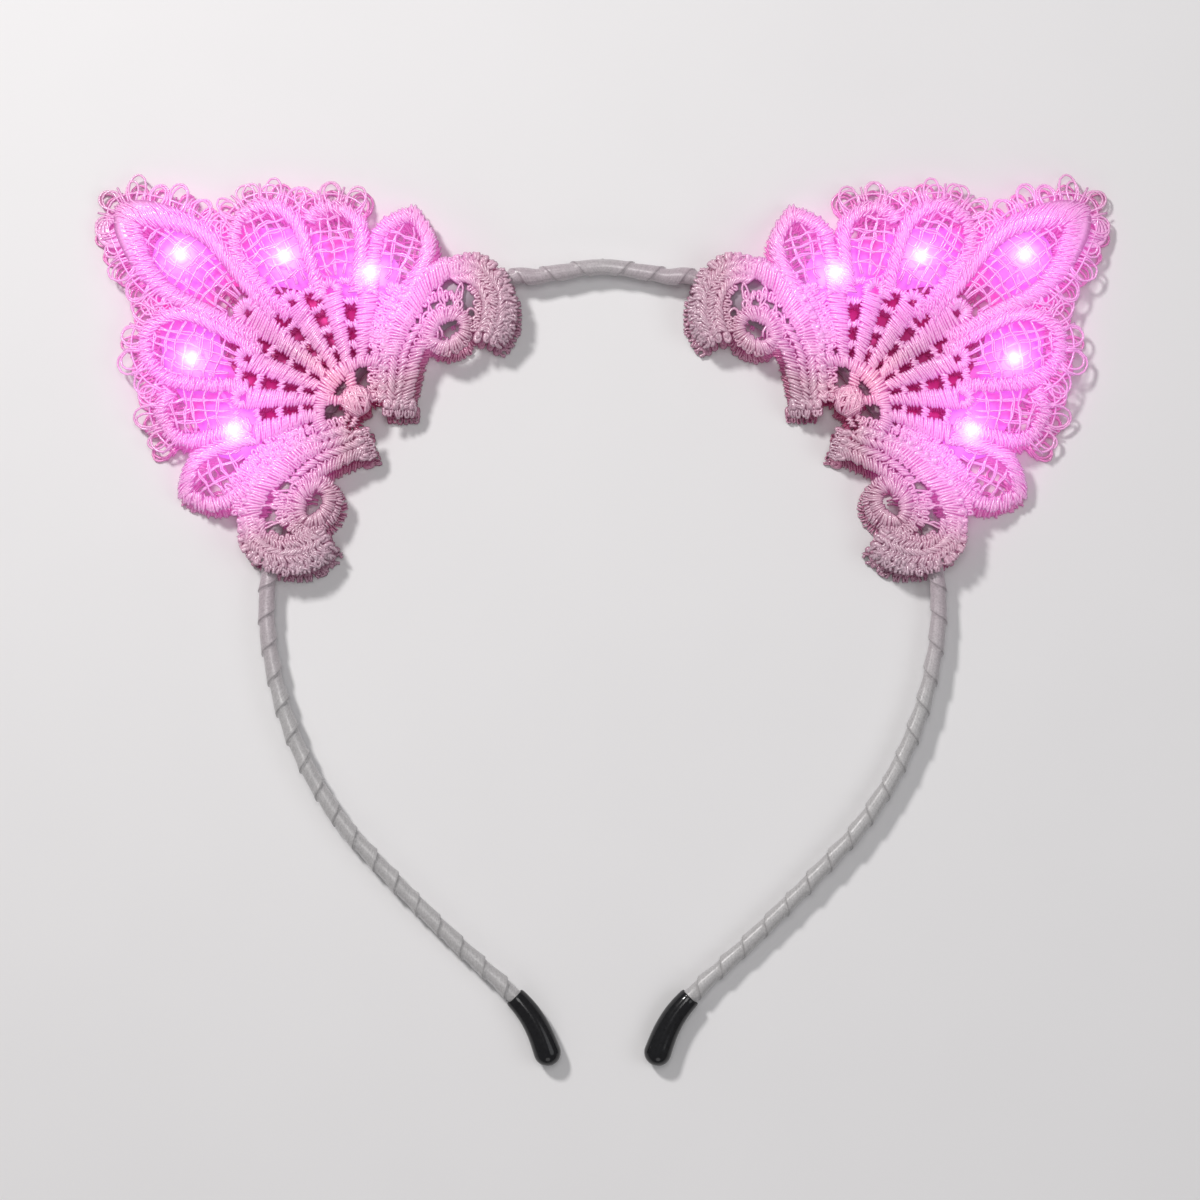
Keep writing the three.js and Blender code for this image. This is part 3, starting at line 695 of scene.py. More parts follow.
# Corners, faces, places along and round the thread, and ends of a batch of tubes
def tubeArrays(paths, radius, flat, sides):
    count, points = paths.shape[:2]
    ahead = np.gradient(paths, axis=1)
    ahead /= np.linalg.norm(ahead, axis=2, keepdims=True) + 1e-12
    across = np.cross(ahead, [0, 0, 1.0])
    across /= np.linalg.norm(across, axis=2, keepdims=True) + 1e-12
    up = np.cross(across, ahead)
    turn = 2 * math.pi * np.arange(sides) / sides
    wide = radius[:, :, None, None] * np.cos(turn)[None, None, :, None] * across[:, :, None]
    high = radius[:, :, None, None] * flat * np.sin(turn)[None, None, :, None] * up[:, :, None]
    corners = (paths[:, :, None] + wide + high).reshape(-1, 3)
    index = np.arange(count * points * sides).reshape(count, points, sides)
    near, far = index[:, :-1], index[:, 1:]
    quads = np.stack([near, far, np.roll(far, -1, axis=2), np.roll(near, -1, axis=2)], axis=-1)
    steps = np.linalg.norm(np.diff(paths, axis=1), axis=2)
    along = np.concatenate([np.zeros((count, 1)), np.cumsum(steps, axis=1)], axis=1)
    around = np.arange(sides) / sides - 0.25    # 0 on top of the thread
    before, after = along[:, :-1, None], along[:, 1:, None]
    cornerAlong = np.stack([before, after, after, before], axis=-1)
    cornerAlong = np.broadcast_to(cornerAlong, quads.shape)
    cornerAround = np.stack([around, around, around + 1 / sides, around + 1 / sides], axis=-1)
    cornerAround = np.broadcast_to(cornerAround[None, None], quads.shape)
    uv = np.stack([cornerAlong, cornerAround], axis=-1).reshape(-1, 2)
    ends = np.concatenate([index[:, 0], index[:, -1, ::-1]])
    return corners, quads.reshape(-1, 4), uv, ends


# One mesh from batches of paths in millimetres
def threadMesh(name, batches, finish):
    corners, faces, uvs = [], [], []
    offset = 0
    for paths, radius, flat, sides in batches:
        points, quads, uv, ends = tubeArrays(paths, radius, flat, sides)
        corners.append(points)
        faces += (quads + offset).tolist() + (ends + offset).tolist()
        uvs.append(np.vstack([uv, np.zeros((ends.size, 2))]))
        offset += len(points)
    mesh = bpy.data.meshes.new(name)
    mesh.from_pydata(np.vstack(corners) * mm, [], faces)
    layer = mesh.uv_layers.new(name="thread")
    layer.data.foreach_set("uv", np.vstack(uvs).astype(np.float32).ravel())
    mesh.shade_smooth()
    mesh.materials.append(finish)
    piece = bpy.data.objects.new(name, mesh)
    bpy.context.collection.objects.link(piece)
    triangles = sum(len(face) - 2 for face in faces)
    print(name, "has", triangles, "triangles")
    return piece


def settle(piece, node):
    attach(piece, "root")
    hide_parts(node)


# Lace
petalRows = [
    # degrees from the axis; root, net, tip and half width as shares of the reach; shape; tip's rim in mm
    (0, 0.37, 0.526, 1.0, 0.133, "long", 4.9),
    (22, 0.336, 0.44, 0.728, 0.13, "round", 2.6),
    (42.5, 0.336, 0.43, 0.649, 0.116, "round", 2.6),
    (67.5, 0.336, 0.424, 0.654, 0.104, "point", 2.8),
]
petalShapes = {
    # (share along the petal, share of its half width)
    "long": [(0, 0.5), (0.26, 0.72), (0.5, 1), (0.68, 0.93), (0.84, 0.64), (0.95, 0.34), (1, 0)],
    "round": [(0, 0.6), (0.4, 0.9), (0.65, 1), (0.84, 0.8), (0.96, 0.4), (1, 0)],
    "point": [(0, 0.7), (0.3, 0.92), (0.62, 1), (0.8, 0.74), (0.92, 0.36), (1, 0)],
}
lace = {
    "rimWidth": 2.5,
    "rimPitch": 0.52,      # from one stitch of a rim to the next
    "stitch": 0.29,        # half a thread's thickness
    "crown": 0.62,         # how high a stitch rises in its middle
    "rope": {"pitch": 0.62, "radius": 0.36, "ragged": 0.3, "slant": 0.9},    # rims of the pointed petals
    "stray": {"pitch": 1.15, "radius": 0.2, "crown": 0.42, "ragged": 0.5, "slant": 0.6, "base": 0.62},
    "netPitch": 2.15,
    "netThread": 0.2,
    "ribs": [(0, 29.6), (18, 24.7), (37.5, 23.9), (57, 23.2)],    # degrees, radius of the end
    "eye": 0.7,
    "bulb": 112,           # the ribs' round ends, degrees to either side
    "ribRoot": 7.6,
    "ribFlare": (0.185, 0.58),     # width = share of the radius + mm
    "ribPitch": 0.42,
    "gaps": [(9, 4.6), (27.5, 4.6), (48, 4.6), (70, 3.4)],        # degrees, half the span of a bridge there
    "brideRadii": [10.6, 14.6, 19.0, 22.9],
    "brideHalf": 0.62,
    "archTurns": [0, 20, 40, 55, 70, 82],    # degrees from the axis, and the arch's edges there
    "archFrom": [4.2, 4.4, 5.0, 6.1, 7.0, 7.2],
    "archTo": [8.0, 8.0, 8.0, 8.6, 9.3, 9.8],
    "hubBridge": {"turn": 37, "from": 2.4, "to": 5.4, "half": 1},            # from the ball to the arch
    "hubLinks": [((-0.3, 2.3), (-0.9, 5.0)), ((-1.7, 2.0), (-2.5, 4.4))],    # from the ball to the scrolls
    "ball": 2.9,
    "ballTurns": 48,
    "ballThread": 0.27,
    "picotPitch": 4.2,
    "picotSpan": 52,
    "picotHigh": 3.7,
    "picotWide": 3.7,
    "picotThread": 0.22,
    "picotFoot": 0.9,      # how far in from the edge the picots start
    "picotLoops": [(1, 0.98), (0.86, 0.82)],    # shares of the height and width
    "peg": {"lean": 0.7, "steps": (-0.6, 0.8, 2.0), "lift": (0.5, 0.75, 0.5)},    # threads across picots
    "web": {"inset": 2.9, "aside": -3.2, "hole": (1.2, 1.3), "size": (2.9, 3.0), "lower": -3.5,
            "ragged": (0.8, 0.6), "rings": (0.2, 0.55, 0.9), "thread": 0.6, "flat": 0.2},
}
scroll = {
    # paths as shares of the scroll's reach: out along the ear's axis, and to the side of it
    "cord": [(-0.14, 0.15), (-0.015, 0.31), (0.054, 0.44), (0.084, 0.6), (0.087, 0.75), (0.06, 0.87),
             (-0.01, 0.97), (-0.12, 1.0), (-0.235, 0.955), (-0.318, 0.86), (-0.36, 0.76)],
    "fringe": [(-0.1, 0.075), (0.02, 0.24), (0.125, 0.4), (0.17, 0.54), (0.18, 0.69), (0.15, 0.85),
               (0.08, 0.98), (-0.01, 1.075), (-0.11, 1.1), (-0.21, 1.06), (-0.31, 1.0), (-0.385, 0.92),
               (-0.42, 0.82), (-0.41, 0.74)],
    "arm": [(-0.25, 0.135), (-0.17, 0.275), (-0.1, 0.42), (-0.09, 0.52)],
    "foot": [(-0.14, 0.066), (-0.285, 0.175)],
    # half the cord's width by shares of its length, with what the stitches add inwards and keep outwards
    "halfAt": [0, 0.3, 0.5, 0.75, 1], "half": [1.3, 2.2, 2.5, 2.1, 1.6],
    "innerAt": [0.2, 0.4, 0.55, 0.8], "inner": [0, 1.2, 0.5, 0], "lowerInner": [0, 0.3, 0.3, 0],
    "outerAt": [0, 0.38, 0.46, 0.66, 0.78, 1], "outer": [0.74, 0.74, 0.5, 0.5, 0.8, 0.9],
    "cordPoints": 120, "fringePoints": 160,
    "body": slice(20, 86),         # the stitched part of the cord's points
    "tail": slice(70, None),
    "tailEdge": slice(84, None),
    "tailEnd": slice(90, None),
    "knobbed": slice(0, 122),      # the part of the fringe's points with knobs
    "looped": slice(116, None),
    "armEdge": slice(0, 60),
    "within": slice(24, 62), "lowerWithin": slice(24, 72),    # rows on the cord's inner side
    "deeper": slice(24, 50), "lowerDeeper": slice(24, 66),
    "armBlends": (0.14, 0.42, 0.7),    # rows from the fringe to the arm's other edge
    "tailGaps": (-1.2, 0.3, 1.8),
    "ring": (-0.153, 0.635),
    "lowerRing": (-0.178, 0.605),
    "lowerShrink": 0.02,
    "lowerTrim": 0.05,      # the lower scroll's arm is this much shorter, as a share of its edge
    "ringSize": np.array((9.7, 8.6)),
    "ringHole": np.array((5.0, 2.9)),
    "ringTurn": 105,
    # rows round the ring: mm more than its size, degrees at the start, degrees spanned
    "around": [(4.8, -12, 84)],
    "lowerAround": [(1.8, 20, 130), (3.8, 20, 130)],
    "brides": [((-0.16, 0.5), (0.03, 0.6)), ((-0.15, 0.58), (0.05, 0.7)), ((-0.13, 0.68), (0.05, 0.8)),
               ((-0.2, 0.7), (-0.33, 0.82)), ((-0.14, 0.72), (-0.03, 0.92))],
}


# The outer and inner edge of half a petal's rim
def petalEdges(row):
    _, root, _, tip, half, shape, tipRim = row
    reach = ear["reach"]
    knots = [((root + (tip - root) * along) * reach, half * share * reach)
             for along, share in petalShapes[shape]]
    outer = evenly(spline(knots), 240)
    outer[:, 1] = np.maximum(outer[:, 1], 0)
    share = np.linspace(0, 1, len(outer))
    width = lace["rimWidth"] + (tipRim - lace["rimWidth"]) * np.clip((share - 0.4) / 0.45, 0, 1)
    inner = outer - normals(outer) * width[:, None]
    inner[:, 1] = np.maximum(inner[:, 1], 0.12)
    inner[:, 0] = np.minimum(inner[:, 0], tip * reach - tipRim)
    return outer, inner


def flipped(path, across):
    return path * (1, across)


# Both copies of what stands either side of the axis
def bothSides(turn):
    return [1] if turn == 0 else [1, -1]


def addPetals(threads):
    outlines = {}
    for row in petalRows:
        outer, _ = petalEdges(row)
        for side in bothSides(row[0]):
            ring = np.vstack([outer, flipped(outer, -1)[::-1]])
            outlines[row[0] * side] = turnedBy(ring, row[0] * side)
    order = [row[0] for row in petalRows]
    for index, row in enumerate(petalRows):
        turn = row[0]
        outer, inner = petalEdges(row)
        pointed = row[5] == "point"
        for side in bothSides(turn):
            neighbour = outlines[order[index - 1] * side] if index else None
            opening = []
            for edge in (1, -1):
                outerEdge = turnedBy(flipped(outer, edge), turn * side)
                innerEdge = turnedBy(flipped(inner, edge), turn * side)
                opening += list(innerEdge[::edge])
                if neighbour is not None and edge == -side:
                    clear = ~inside(outerEdge, neighbour)
                    first = int(np.argmax(clear))
                    outerEdge, innerEdge = outerEdge[first:], innerEdge[first:]
                if pointed:
                    rope = lace["rope"]
                    threads.satin(innerEdge, outerEdge, rope["pitch"], rope["radius"], lace["crown"],
                                  ragged=rope["ragged"], slant=rope["slant"] * edge)
                else:
                    threads.satin(innerEdge, outerEdge, lace["rimPitch"], lace["stitch"], lace["crown"],
                                  ragged=0.42, slant=0.25 * edge)
                innerEdge, outerEdge = evenly(innerEdge, 90), evenly(outerEdge, 90)
                middle = (innerEdge + outerEdge) / 2
                stray = {**lace["stray"], "slant": lace["stray"]["slant"] * edge, "core": False}
                threads.satin(innerEdge, beside(middle, -0.3), **stray)
                threads.satin(beside(middle, 0.4), outerEdge, **stray)
            addNet(threads, row, side, np.array(opening), neighbour)
    return outlines


# The stretches of a path that are kept
def runsOf(path, keep, shortest):
    runs, start = [], None
    for index, kept in enumerate([*keep, False]):
        if kept and start is None:
            start = index
        elif not kept and start is not None:
            if lengthOf(path[start:index]) > shortest:
                runs.append(path[start:index])
            start = None
    return runs


# Wandering threads along and across a petal's opening
def addNet(threads, row, side, opening, neighbour):
    turn, _, net, tip, half, _, tipRim = row
    reach = ear["reach"]
    near, far = net * reach - 1.5, tip * reach - tipRim + 0.6
    width = half * reach - lace["rimWidth"]
    lines = []
    count = max(3, round(2 * width / lace["netPitch"]))
    steps = np.linspace(near, far, 60)
    swell = 0.72 + 0.28 * np.sin(np.clip((steps - near) / (far - near), 0, 1) * math.pi)
    for index in range(count + 1):
        across = (index - count / 2) * 2 * width / count
        across += threads.jitter(1, 0.3)[0]
        lines.append((np.stack([steps, across * swell + threads.wander(1, 60, 0.34)[0]], axis=1), 0.36))
    rows = max(3, round((far - near) / lace["netPitch"]))
    steps = np.linspace(-width - 0.6, width + 0.6, 40)
    for index in range(1, rows):
        out = near + (far - near) * (index + threads.jitter(1, 0.16)[0]) / rows
        bow = 0.5 * (1 - (steps / width) ** 2)
        lines.append((np.stack([out + bow + threads.wander(1, 40, 0.4)[0], steps], axis=1), 0.5))
    for path, base in lines:
        path = turnedBy(path, turn * side)
        keep = inside(path, opening)
        if neighbour is not None:
            keep &= ~inside(path, neighbour)
        for run in runsOf(path, keep, 1.2):
            points = max(5, round(lengthOf(run) / 1.3))
            threads.strand(run, lace["netThread"], base, points, wander=0.16, spread=0.36)


def ribHalf(radius):
    return (lace["ribFlare"][0] * radius + lace["ribFlare"][1]) / 2


# Seven ribs with round ends, the bridges between them, and the arch at the hub
def addFan(threads):
    for turn, end in lace["ribs"]:
        half = ribHalf(end - 2)
        centre = end - half
        for side in bothSides(turn):
            radii = np.linspace(lace["ribRoot"], centre - lace["eye"], 40)
            above = np.stack([radii, ribHalf(radii)], axis=1)
            below = flipped(above, -1)
            threads.satin(turnedBy(below, turn * side), turnedBy(above, turn * side), lace["ribPitch"],
                          radius=0.26, crown=0.6, ragged=0.14, slant=0.5 * side, base=0.32)
            bulb = np.radians(np.linspace(-lace["bulb"], lace["bulb"], 40))
            round = np.stack([np.cos(bulb), np.sin(bulb)], axis=1)
            eye, rim = ((centre, 0) + size * round for size in (lace["eye"], half))
            threads.satin(turnedBy(eye, turn * side), turnedBy(rim, turn * side),
                          pitch=0.46, radius=0.24, crown=0.66, ragged=0.25, base=0.34)
    for turn, span in lace["gaps"]:
        half = math.radians(span)
        for side in (1, -1):
            for radius in lace["brideRadii"]:
                angles = math.radians(turn * side) + np.linspace(-half, half, 8)
                path = radius * np.stack([np.cos(angles), np.sin(angles)], axis=1)
                threads.satin(beside(path, -lace["brideHalf"]), beside(path, lace["brideHalf"]), pitch=0.36,
                              radius=0.24, crown=0.3, ragged=0.3, slant=0.2, core=False, base=0.3)
    turns = np.linspace(-lace["archTurns"][-1], lace["archTurns"][-1], 80)
    arch = np.radians(turns)
    ring = np.stack([np.cos(arch), np.sin(arch)], axis=1)
    near, far = (np.interp(np.abs(turns), lace["archTurns"], lace[key])[:, None]
                 for key in ("archFrom", "archTo"))
    threads.satin(ring * near, ring * far, pitch=0.54, radius=0.3, crown=0.7, ragged=0.2, base=0.4)
    bridge = lace["hubBridge"]
    for side in (1, -1):
        line = turnedBy(np.array([(bridge["from"], 0), (bridge["to"], 0)]), bridge["turn"] * side)
        threads.satin(beside(line, -bridge["half"]), beside(line, bridge["half"]),
                      pitch=0.55, radius=0.3, crown=0.45, ragged=0.3, base=0.4)
        for link in lace["hubLinks"]:
            threads.zigzag(np.array(link) * (1, side), width=1.3, pitch=0.7, radius=0.3)


# The ball at the hub: thread wound over a round core
def addBall(threads):
    size = lace["ball"]
    steps = np.linspace(-1, 1, 9)
    for index in range(lace["ballTurns"]):
        turn = 0.6 * threads.jitter(1, 1)[0] + (index % 2) * 0.8
        gap = size * threads.jitter(1, 0.86)[0]
        half = math.sqrt(size * size - gap * gap)
        line = np.stack([steps * half, np.full(9, gap)], axis=1)
        line = turnedBy(line, math.degrees(turn)) + threads.jitter((9, 2), 0.07)
        high = 0.3 + 0.62 * half * np.sqrt(1 - steps**2 * 0.98) + 0.18 * (index % 3)
        threads.add(np.concatenate([line, high[:, None]], axis=1), lace["ballThread"])


# How far out the petals' outlines come at some turns from the axis
def edgeRadius(outlines, turns):
    rings = np.vstack(list(outlines.values()))
    angle = np.degrees(np.arctan2(rings[:, 1], rings[:, 0]))
    radius = np.hypot(rings[:, 0], rings[:, 1])
    return np.array([radius[np.abs(angle - turn) < 0.7].max() for turn in turns])


def addPicots(threads, outlines):
    turns = np.arange(-lace["picotSpan"], lace["picotSpan"] + 1, 2.0)
    radii = edgeRadius(outlines, turns)
    radians = np.radians(turns)
    edge = spline(np.stack([radii * np.cos(radians), radii * np.sin(radians)], axis=1), 6)
    thread = lace["picotThread"]
    for high, wide in lace["picotLoops"]:
        threads.loops(edge, lace["picotPitch"], wide * lace["picotWide"], high * lace["picotHigh"],
                      thread, -1, foot=lace["picotFoot"], uneven=0.17, sides=6)
    threads.strand(beside(edge, -lace["picotFoot"]), thread, base=0.45, points=round(lengthOf(edge)),
                   wander=0.35, strands=1)
    count = round(lengthOf(edge) / lace["picotPitch"]) + 1
    start = evenly(edge, count)
    out = -normals(start)
    ahead = normals(out)
    peg = lace["peg"]
    for lean in (-peg["lean"], peg["lean"]):
        foot, middle, tip = (start + step * out for step in peg["steps"])
        paths = np.stack([foot - lean * ahead, middle, tip + lean * ahead], axis=1)
        paths += threads.jitter(paths.shape, 0.25)
        lift = np.array(peg["lift"])[None] + threads.jitter((count, 3), 0.12)
        threads.add(np.concatenate([paths, lift[..., None]], axis=-1), thread)
    addWeb(threads)


# The clear web at the corner: flat rings round a small hole
def addWeb(threads):
    web = lace["web"]
    middle = ear["reach"] - web["inset"]
    around = np.radians(np.linspace(0, 360, 25))
    long, wide = web["size"]
    raggedLong, raggedWide = web["ragged"]
    hole = np.stack([middle + web["hole"][0] * np.cos(around),
                     web["hole"][1] * np.sin(around) + web["aside"]], axis=1)
    edge = np.stack([middle + (long + raggedLong * np.cos(around + 2.2)) * np.cos(around),
                     (wide + raggedWide * np.cos(around + 1.9)) * np.sin(around) + web["lower"]], axis=1)
    for share in web["rings"]:
        line = hole * (1 - share) + edge * share
        high = np.full((len(line), 1), 0.3 + 0.1 * share)
        threads.add(np.concatenate([line, high], axis=1), web["thread"], web["flat"], 6)


def ellipse(centre, size, turn, count=60, span=360):
    angle = np.radians(np.linspace(0, span, count))
    ring = np.stack([size[0] / 2 * np.cos(angle), size[1] / 2 * np.sin(angle)], axis=1)
    return turnedBy(ring, turn) + centre


# A scroll: stitched cord, knobbed fringe, arm of slanting rows, tangled tail, and the ring it curls round
def addScroll(threads, side, opened):
    reach = ear["scrollReach"]
    upper = side > 0
    trim = scroll["lowerTrim"] * (not upper)
    out = side    # the cord's outer side lies this way from its line

    def path(name, count, trimmed=0.0):
        line = atShares(spline(np.array(scroll[name])), np.linspace(trimmed, 1, 200))
        line = evenly(line, count)
        if not upper:
            line[:, 1] *= 1 - scroll["lowerShrink"] * np.clip((line[:, 1] - 0.4) / 0.4, 0, 1)
        return line * reach * (1, side)

    # A setting that the lower scroll has a value of its own for
    def own(name):
        return scroll[name if upper else "lower" + name[0].upper() + name[1:]]

    cord, fringe = path("cord", scroll["cordPoints"]), path("fringe", scroll["fringePoints"], trim)
    arm = path("arm", 60, 2.5 * trim)
    share = np.linspace(0, 1, len(cord))
    half = np.interp(share, scroll["halfAt"], scroll["half"])
    inner = half + np.interp(share, scroll["innerAt"], own("inner"))
    outer = np.interp(share, scroll["outerAt"], scroll["outer"]) * half
    body = scroll["body"]
    threads.fingers(beside(cord, -inner * out)[body], beside(cord, outer * out)[body],
                    pitch=1.15, radius=0.31, crown=0.8, ragged=0.4)
    threads.satin(beside(cord, -0.7 * inner * out)[body], beside(cord, 0.9 * outer * out)[body],
                  pitch=0.72, radius=0.32, crown=0.42)
    threads.knobs(beside(fringe, 0.15 * out)[scroll["knobbed"]], out)
    looped = beside(fringe, 0.1 * out)[scroll["looped"]]
    threads.loops(looped, pitch=1.9, wide=1.4, high=1.3, radius=0.38, outward=out,
                  foot=0.4, base=0.5, uneven=0.26, points=9, sides=5)
    threads.loops(beside(looped, -0.9 * out), pitch=1.7, wide=1.2, high=1.2, radius=0.34, outward=out,
                  foot=0.4, base=0.6, uneven=0.3, points=8, sides=5)
    threads.tangle(beside(looped, -0.2 * out), width=1.4, perMillimetre=0.9, radius=0.32,
                   base=0.65, long=1.4)
    threads.zigzag(beside(fringe, 0.15 * out), width=0.35, pitch=1.0, radius=0.24, base=0.35)
    threads.braid(beside(fringe, -1.1 * out)[scroll["armEdge"]], base=0.4)

    near = evenly(fringe[:64], len(arm))
    rows = [near * (1 - blend) + arm * blend for blend in scroll["armBlends"]]
    for index, row in enumerate(rows):
        threads.rope(row, width=1.35, slant=0.8 * (-1) ** index)
        link = (row + (rows + [arm])[index + 1]) / 2
        threads.zigzag(link, width=1.0, pitch=1.5, radius=0.25, base=0.3, crown=0.2)
    threads.satin(beside(arm, -1.1), beside(arm, 1.1), pitch=0.62, radius=0.31, crown=0.72,
                  ragged=0.3, slant=0.9 * side)
    foot = path("foot", 20) + np.array([0.44, 0.9 * side]) * trim * reach
    threads.knobs(foot, -out, pitch=1.4)
    threads.braid(beside(foot, 0.7 * out))
    within = beside(cord, -(half + 0.7) * out)
    threads.braid(within[own("within")], base=0.45)
    for gap in (1.2, 2.4):
        threads.braid(beside(within[own("deeper")], -gap * out), base=0.35)

    tail = evenly(cord[scroll["tail"]], 50)
    for index, gap in enumerate(scroll["tailGaps"]):
        threads.rope(beside(tail, gap * out), slant=0.9 * (-1) ** index, base=0.45)
        if index < 2:
            threads.braid(beside(tail, (gap + 0.8) * out), pitch=1.5, radius=0.32, base=0.75)
    threads.braid(beside(cord, 2.9 * out)[scroll["tailEdge"]], base=0.5)
    threads.knobs(beside(evenly(cord[scroll["tailEnd"]], 20), -1.6 * out), -out, pitch=1.5)
    tip = np.array([beside(cord, -1.7 * out)[-1], beside(cord, 3.0 * out)[-1]])
    threads.knobs(evenly(tip, 12), -out, pitch=1.5)

    centre = np.array(own("ring")) * reach * (1, side)
    rim = ellipse(centre, scroll["ringSize"], scroll["ringTurn"] * side)
    hole = ellipse(centre, scroll["ringHole"] + opened, scroll["ringTurn"] * side)
    threads.satin(hole, rim, pitch=0.6, radius=0.3, crown=0.95, ragged=0.3, slant=0.5)
    threads.fingers(beside(rim, 0.9 * out), beside(rim, -0.2 * out),
                    pitch=1.15, radius=0.26, crown=0.5, ragged=0.2, slant=0.2)
    festoon = ellipse(centre, scroll["ringSize"] - 0.4, -60 * side, 40, 190 * side)
    threads.loops(festoon, pitch=3.1, wide=1.7, high=1.3, radius=0.29, outward=-side,
                  foot=0.3, base=0.5, uneven=0.14, points=9)
    for grow, start, span in own("around"):
        around = ellipse(centre, scroll["ringSize"] + grow, start * side, 40, span * side)
        threads.braid(around, base=0.4)
    for start, end in scroll["brides"]:
        line = np.array([start, end]) * reach * (1, side)
        threads.strand(evenly(line, 20), radius=0.24, base=0.5, points=9, wander=0.35, spread=0.75)


def laceLayer(seed, sides, opened):
    threads = Threads(seed, sides)
    outlines = addPetals(threads)
    addFan(threads)
    addBall(threads)
    addPicots(threads, outlines)
    for side in (1, -1):
        addScroll(threads, side, opened)
    return threads


# The layer's threads set down on one ear, over what lies beneath them
def dressed(threads, side, shift, lifted):
    batches = []
    for paths, radius, flat, sides in threads.batches:
        fromFan = np.hypot(paths[..., 0] - ear["fanMiddle"], paths[..., 1])
        loose = np.clip((fromFan - ear["fanReach"]) / ear["fanFade"], ear["fanShift"], 1)
        place = paths[..., :2] + loose[..., None] * shift
        ground = frontHeight(place) if lifted else 0.1
        flatPlace = aboutHead(place, side) + head
        high = paths[..., 2] + ground
        batches.append((np.concatenate([flatPlace, high[..., None]], axis=-1), radius, flat, sides))
    return batches


layers = {
    # seed, corners round a thread, how much wider the rings' holes are; shift; whether it is lifted
    # (the back rings' holes are wider, so that they don't close the front ones)
    "front": ((5, 4, 0), (0, 0), True),
    "back": ((23, 3, 2.2), ear["backShift"], False),
}
made = {layer: laceLayer(*drawn) for layer, (drawn, _, _) in layers.items()}
for word, side in words.items():
    for layer, (_, shift, lifted) in layers.items():
        batches = dressed(made[layer], side, shift, lifted)
        piece = threadMesh("lace_%s_threads_%s" % (layer, word), batches, finishes["lace" + layer.title()])
        settle(piece, "lace_%s_%s" % (layer, word))
print("lace made")


# The wound band: a step at each edge of the ribbon, wound the other way on the other side of the crown
band = {
    "route": [
        # degrees from the crown, and distance from the middle of the head as a share of the band's radius
        (0, 0.996), (6, 0.989), (11, 0.987), (17, 1.0), (32, 1.0), (51, 1.0), (70, 1.0), (89, 1.003),
        (104, 1.006), (118, 1.013), (130, 1.024), (140, 1.036), (149, 1.067), (158, 1.122), (167.5, 1.216),
        (171.2, 1.29), (173.8, 1.4),
    ],
    "fallFrom": 104, "fallTo": 167,
    "thick": 3.0,
    "step": 0.36,      # how far an overlapped edge stands up
    "ringGap": 0.26,
    "ringPoints": 20,
    "slip": 0.12,      # how far a winding strays, as a share of its pitch
    "windings": 200,
    "ripple": (0.05, 0.9),
}
cap = {"length": 15, "bore": 7, "mouth": 4.1, "tip": 5.2}


def routePoints(side):
    points = []
    for turn, share in band["route"]:
        fall = min(max((turn - band["fallFrom"]) / (band["fallTo"] - band["fallFrom"]), 0), 1)
        fall = fall * fall * (3 - 2 * fall)
        high = bandMiddle + (cap["tip"] / 2 - bandMiddle) * fall
        angle = math.radians(90 - side * turn)
        radius = ear["bandRadius"] * share
        points.append((head[0] + radius * math.cos(angle), head[1] + radius * math.sin(angle), high))
    return points


route = spline(routePoints(-1)[:0:-1] + routePoints(1), 60)
routeLength = lengthOf(route)


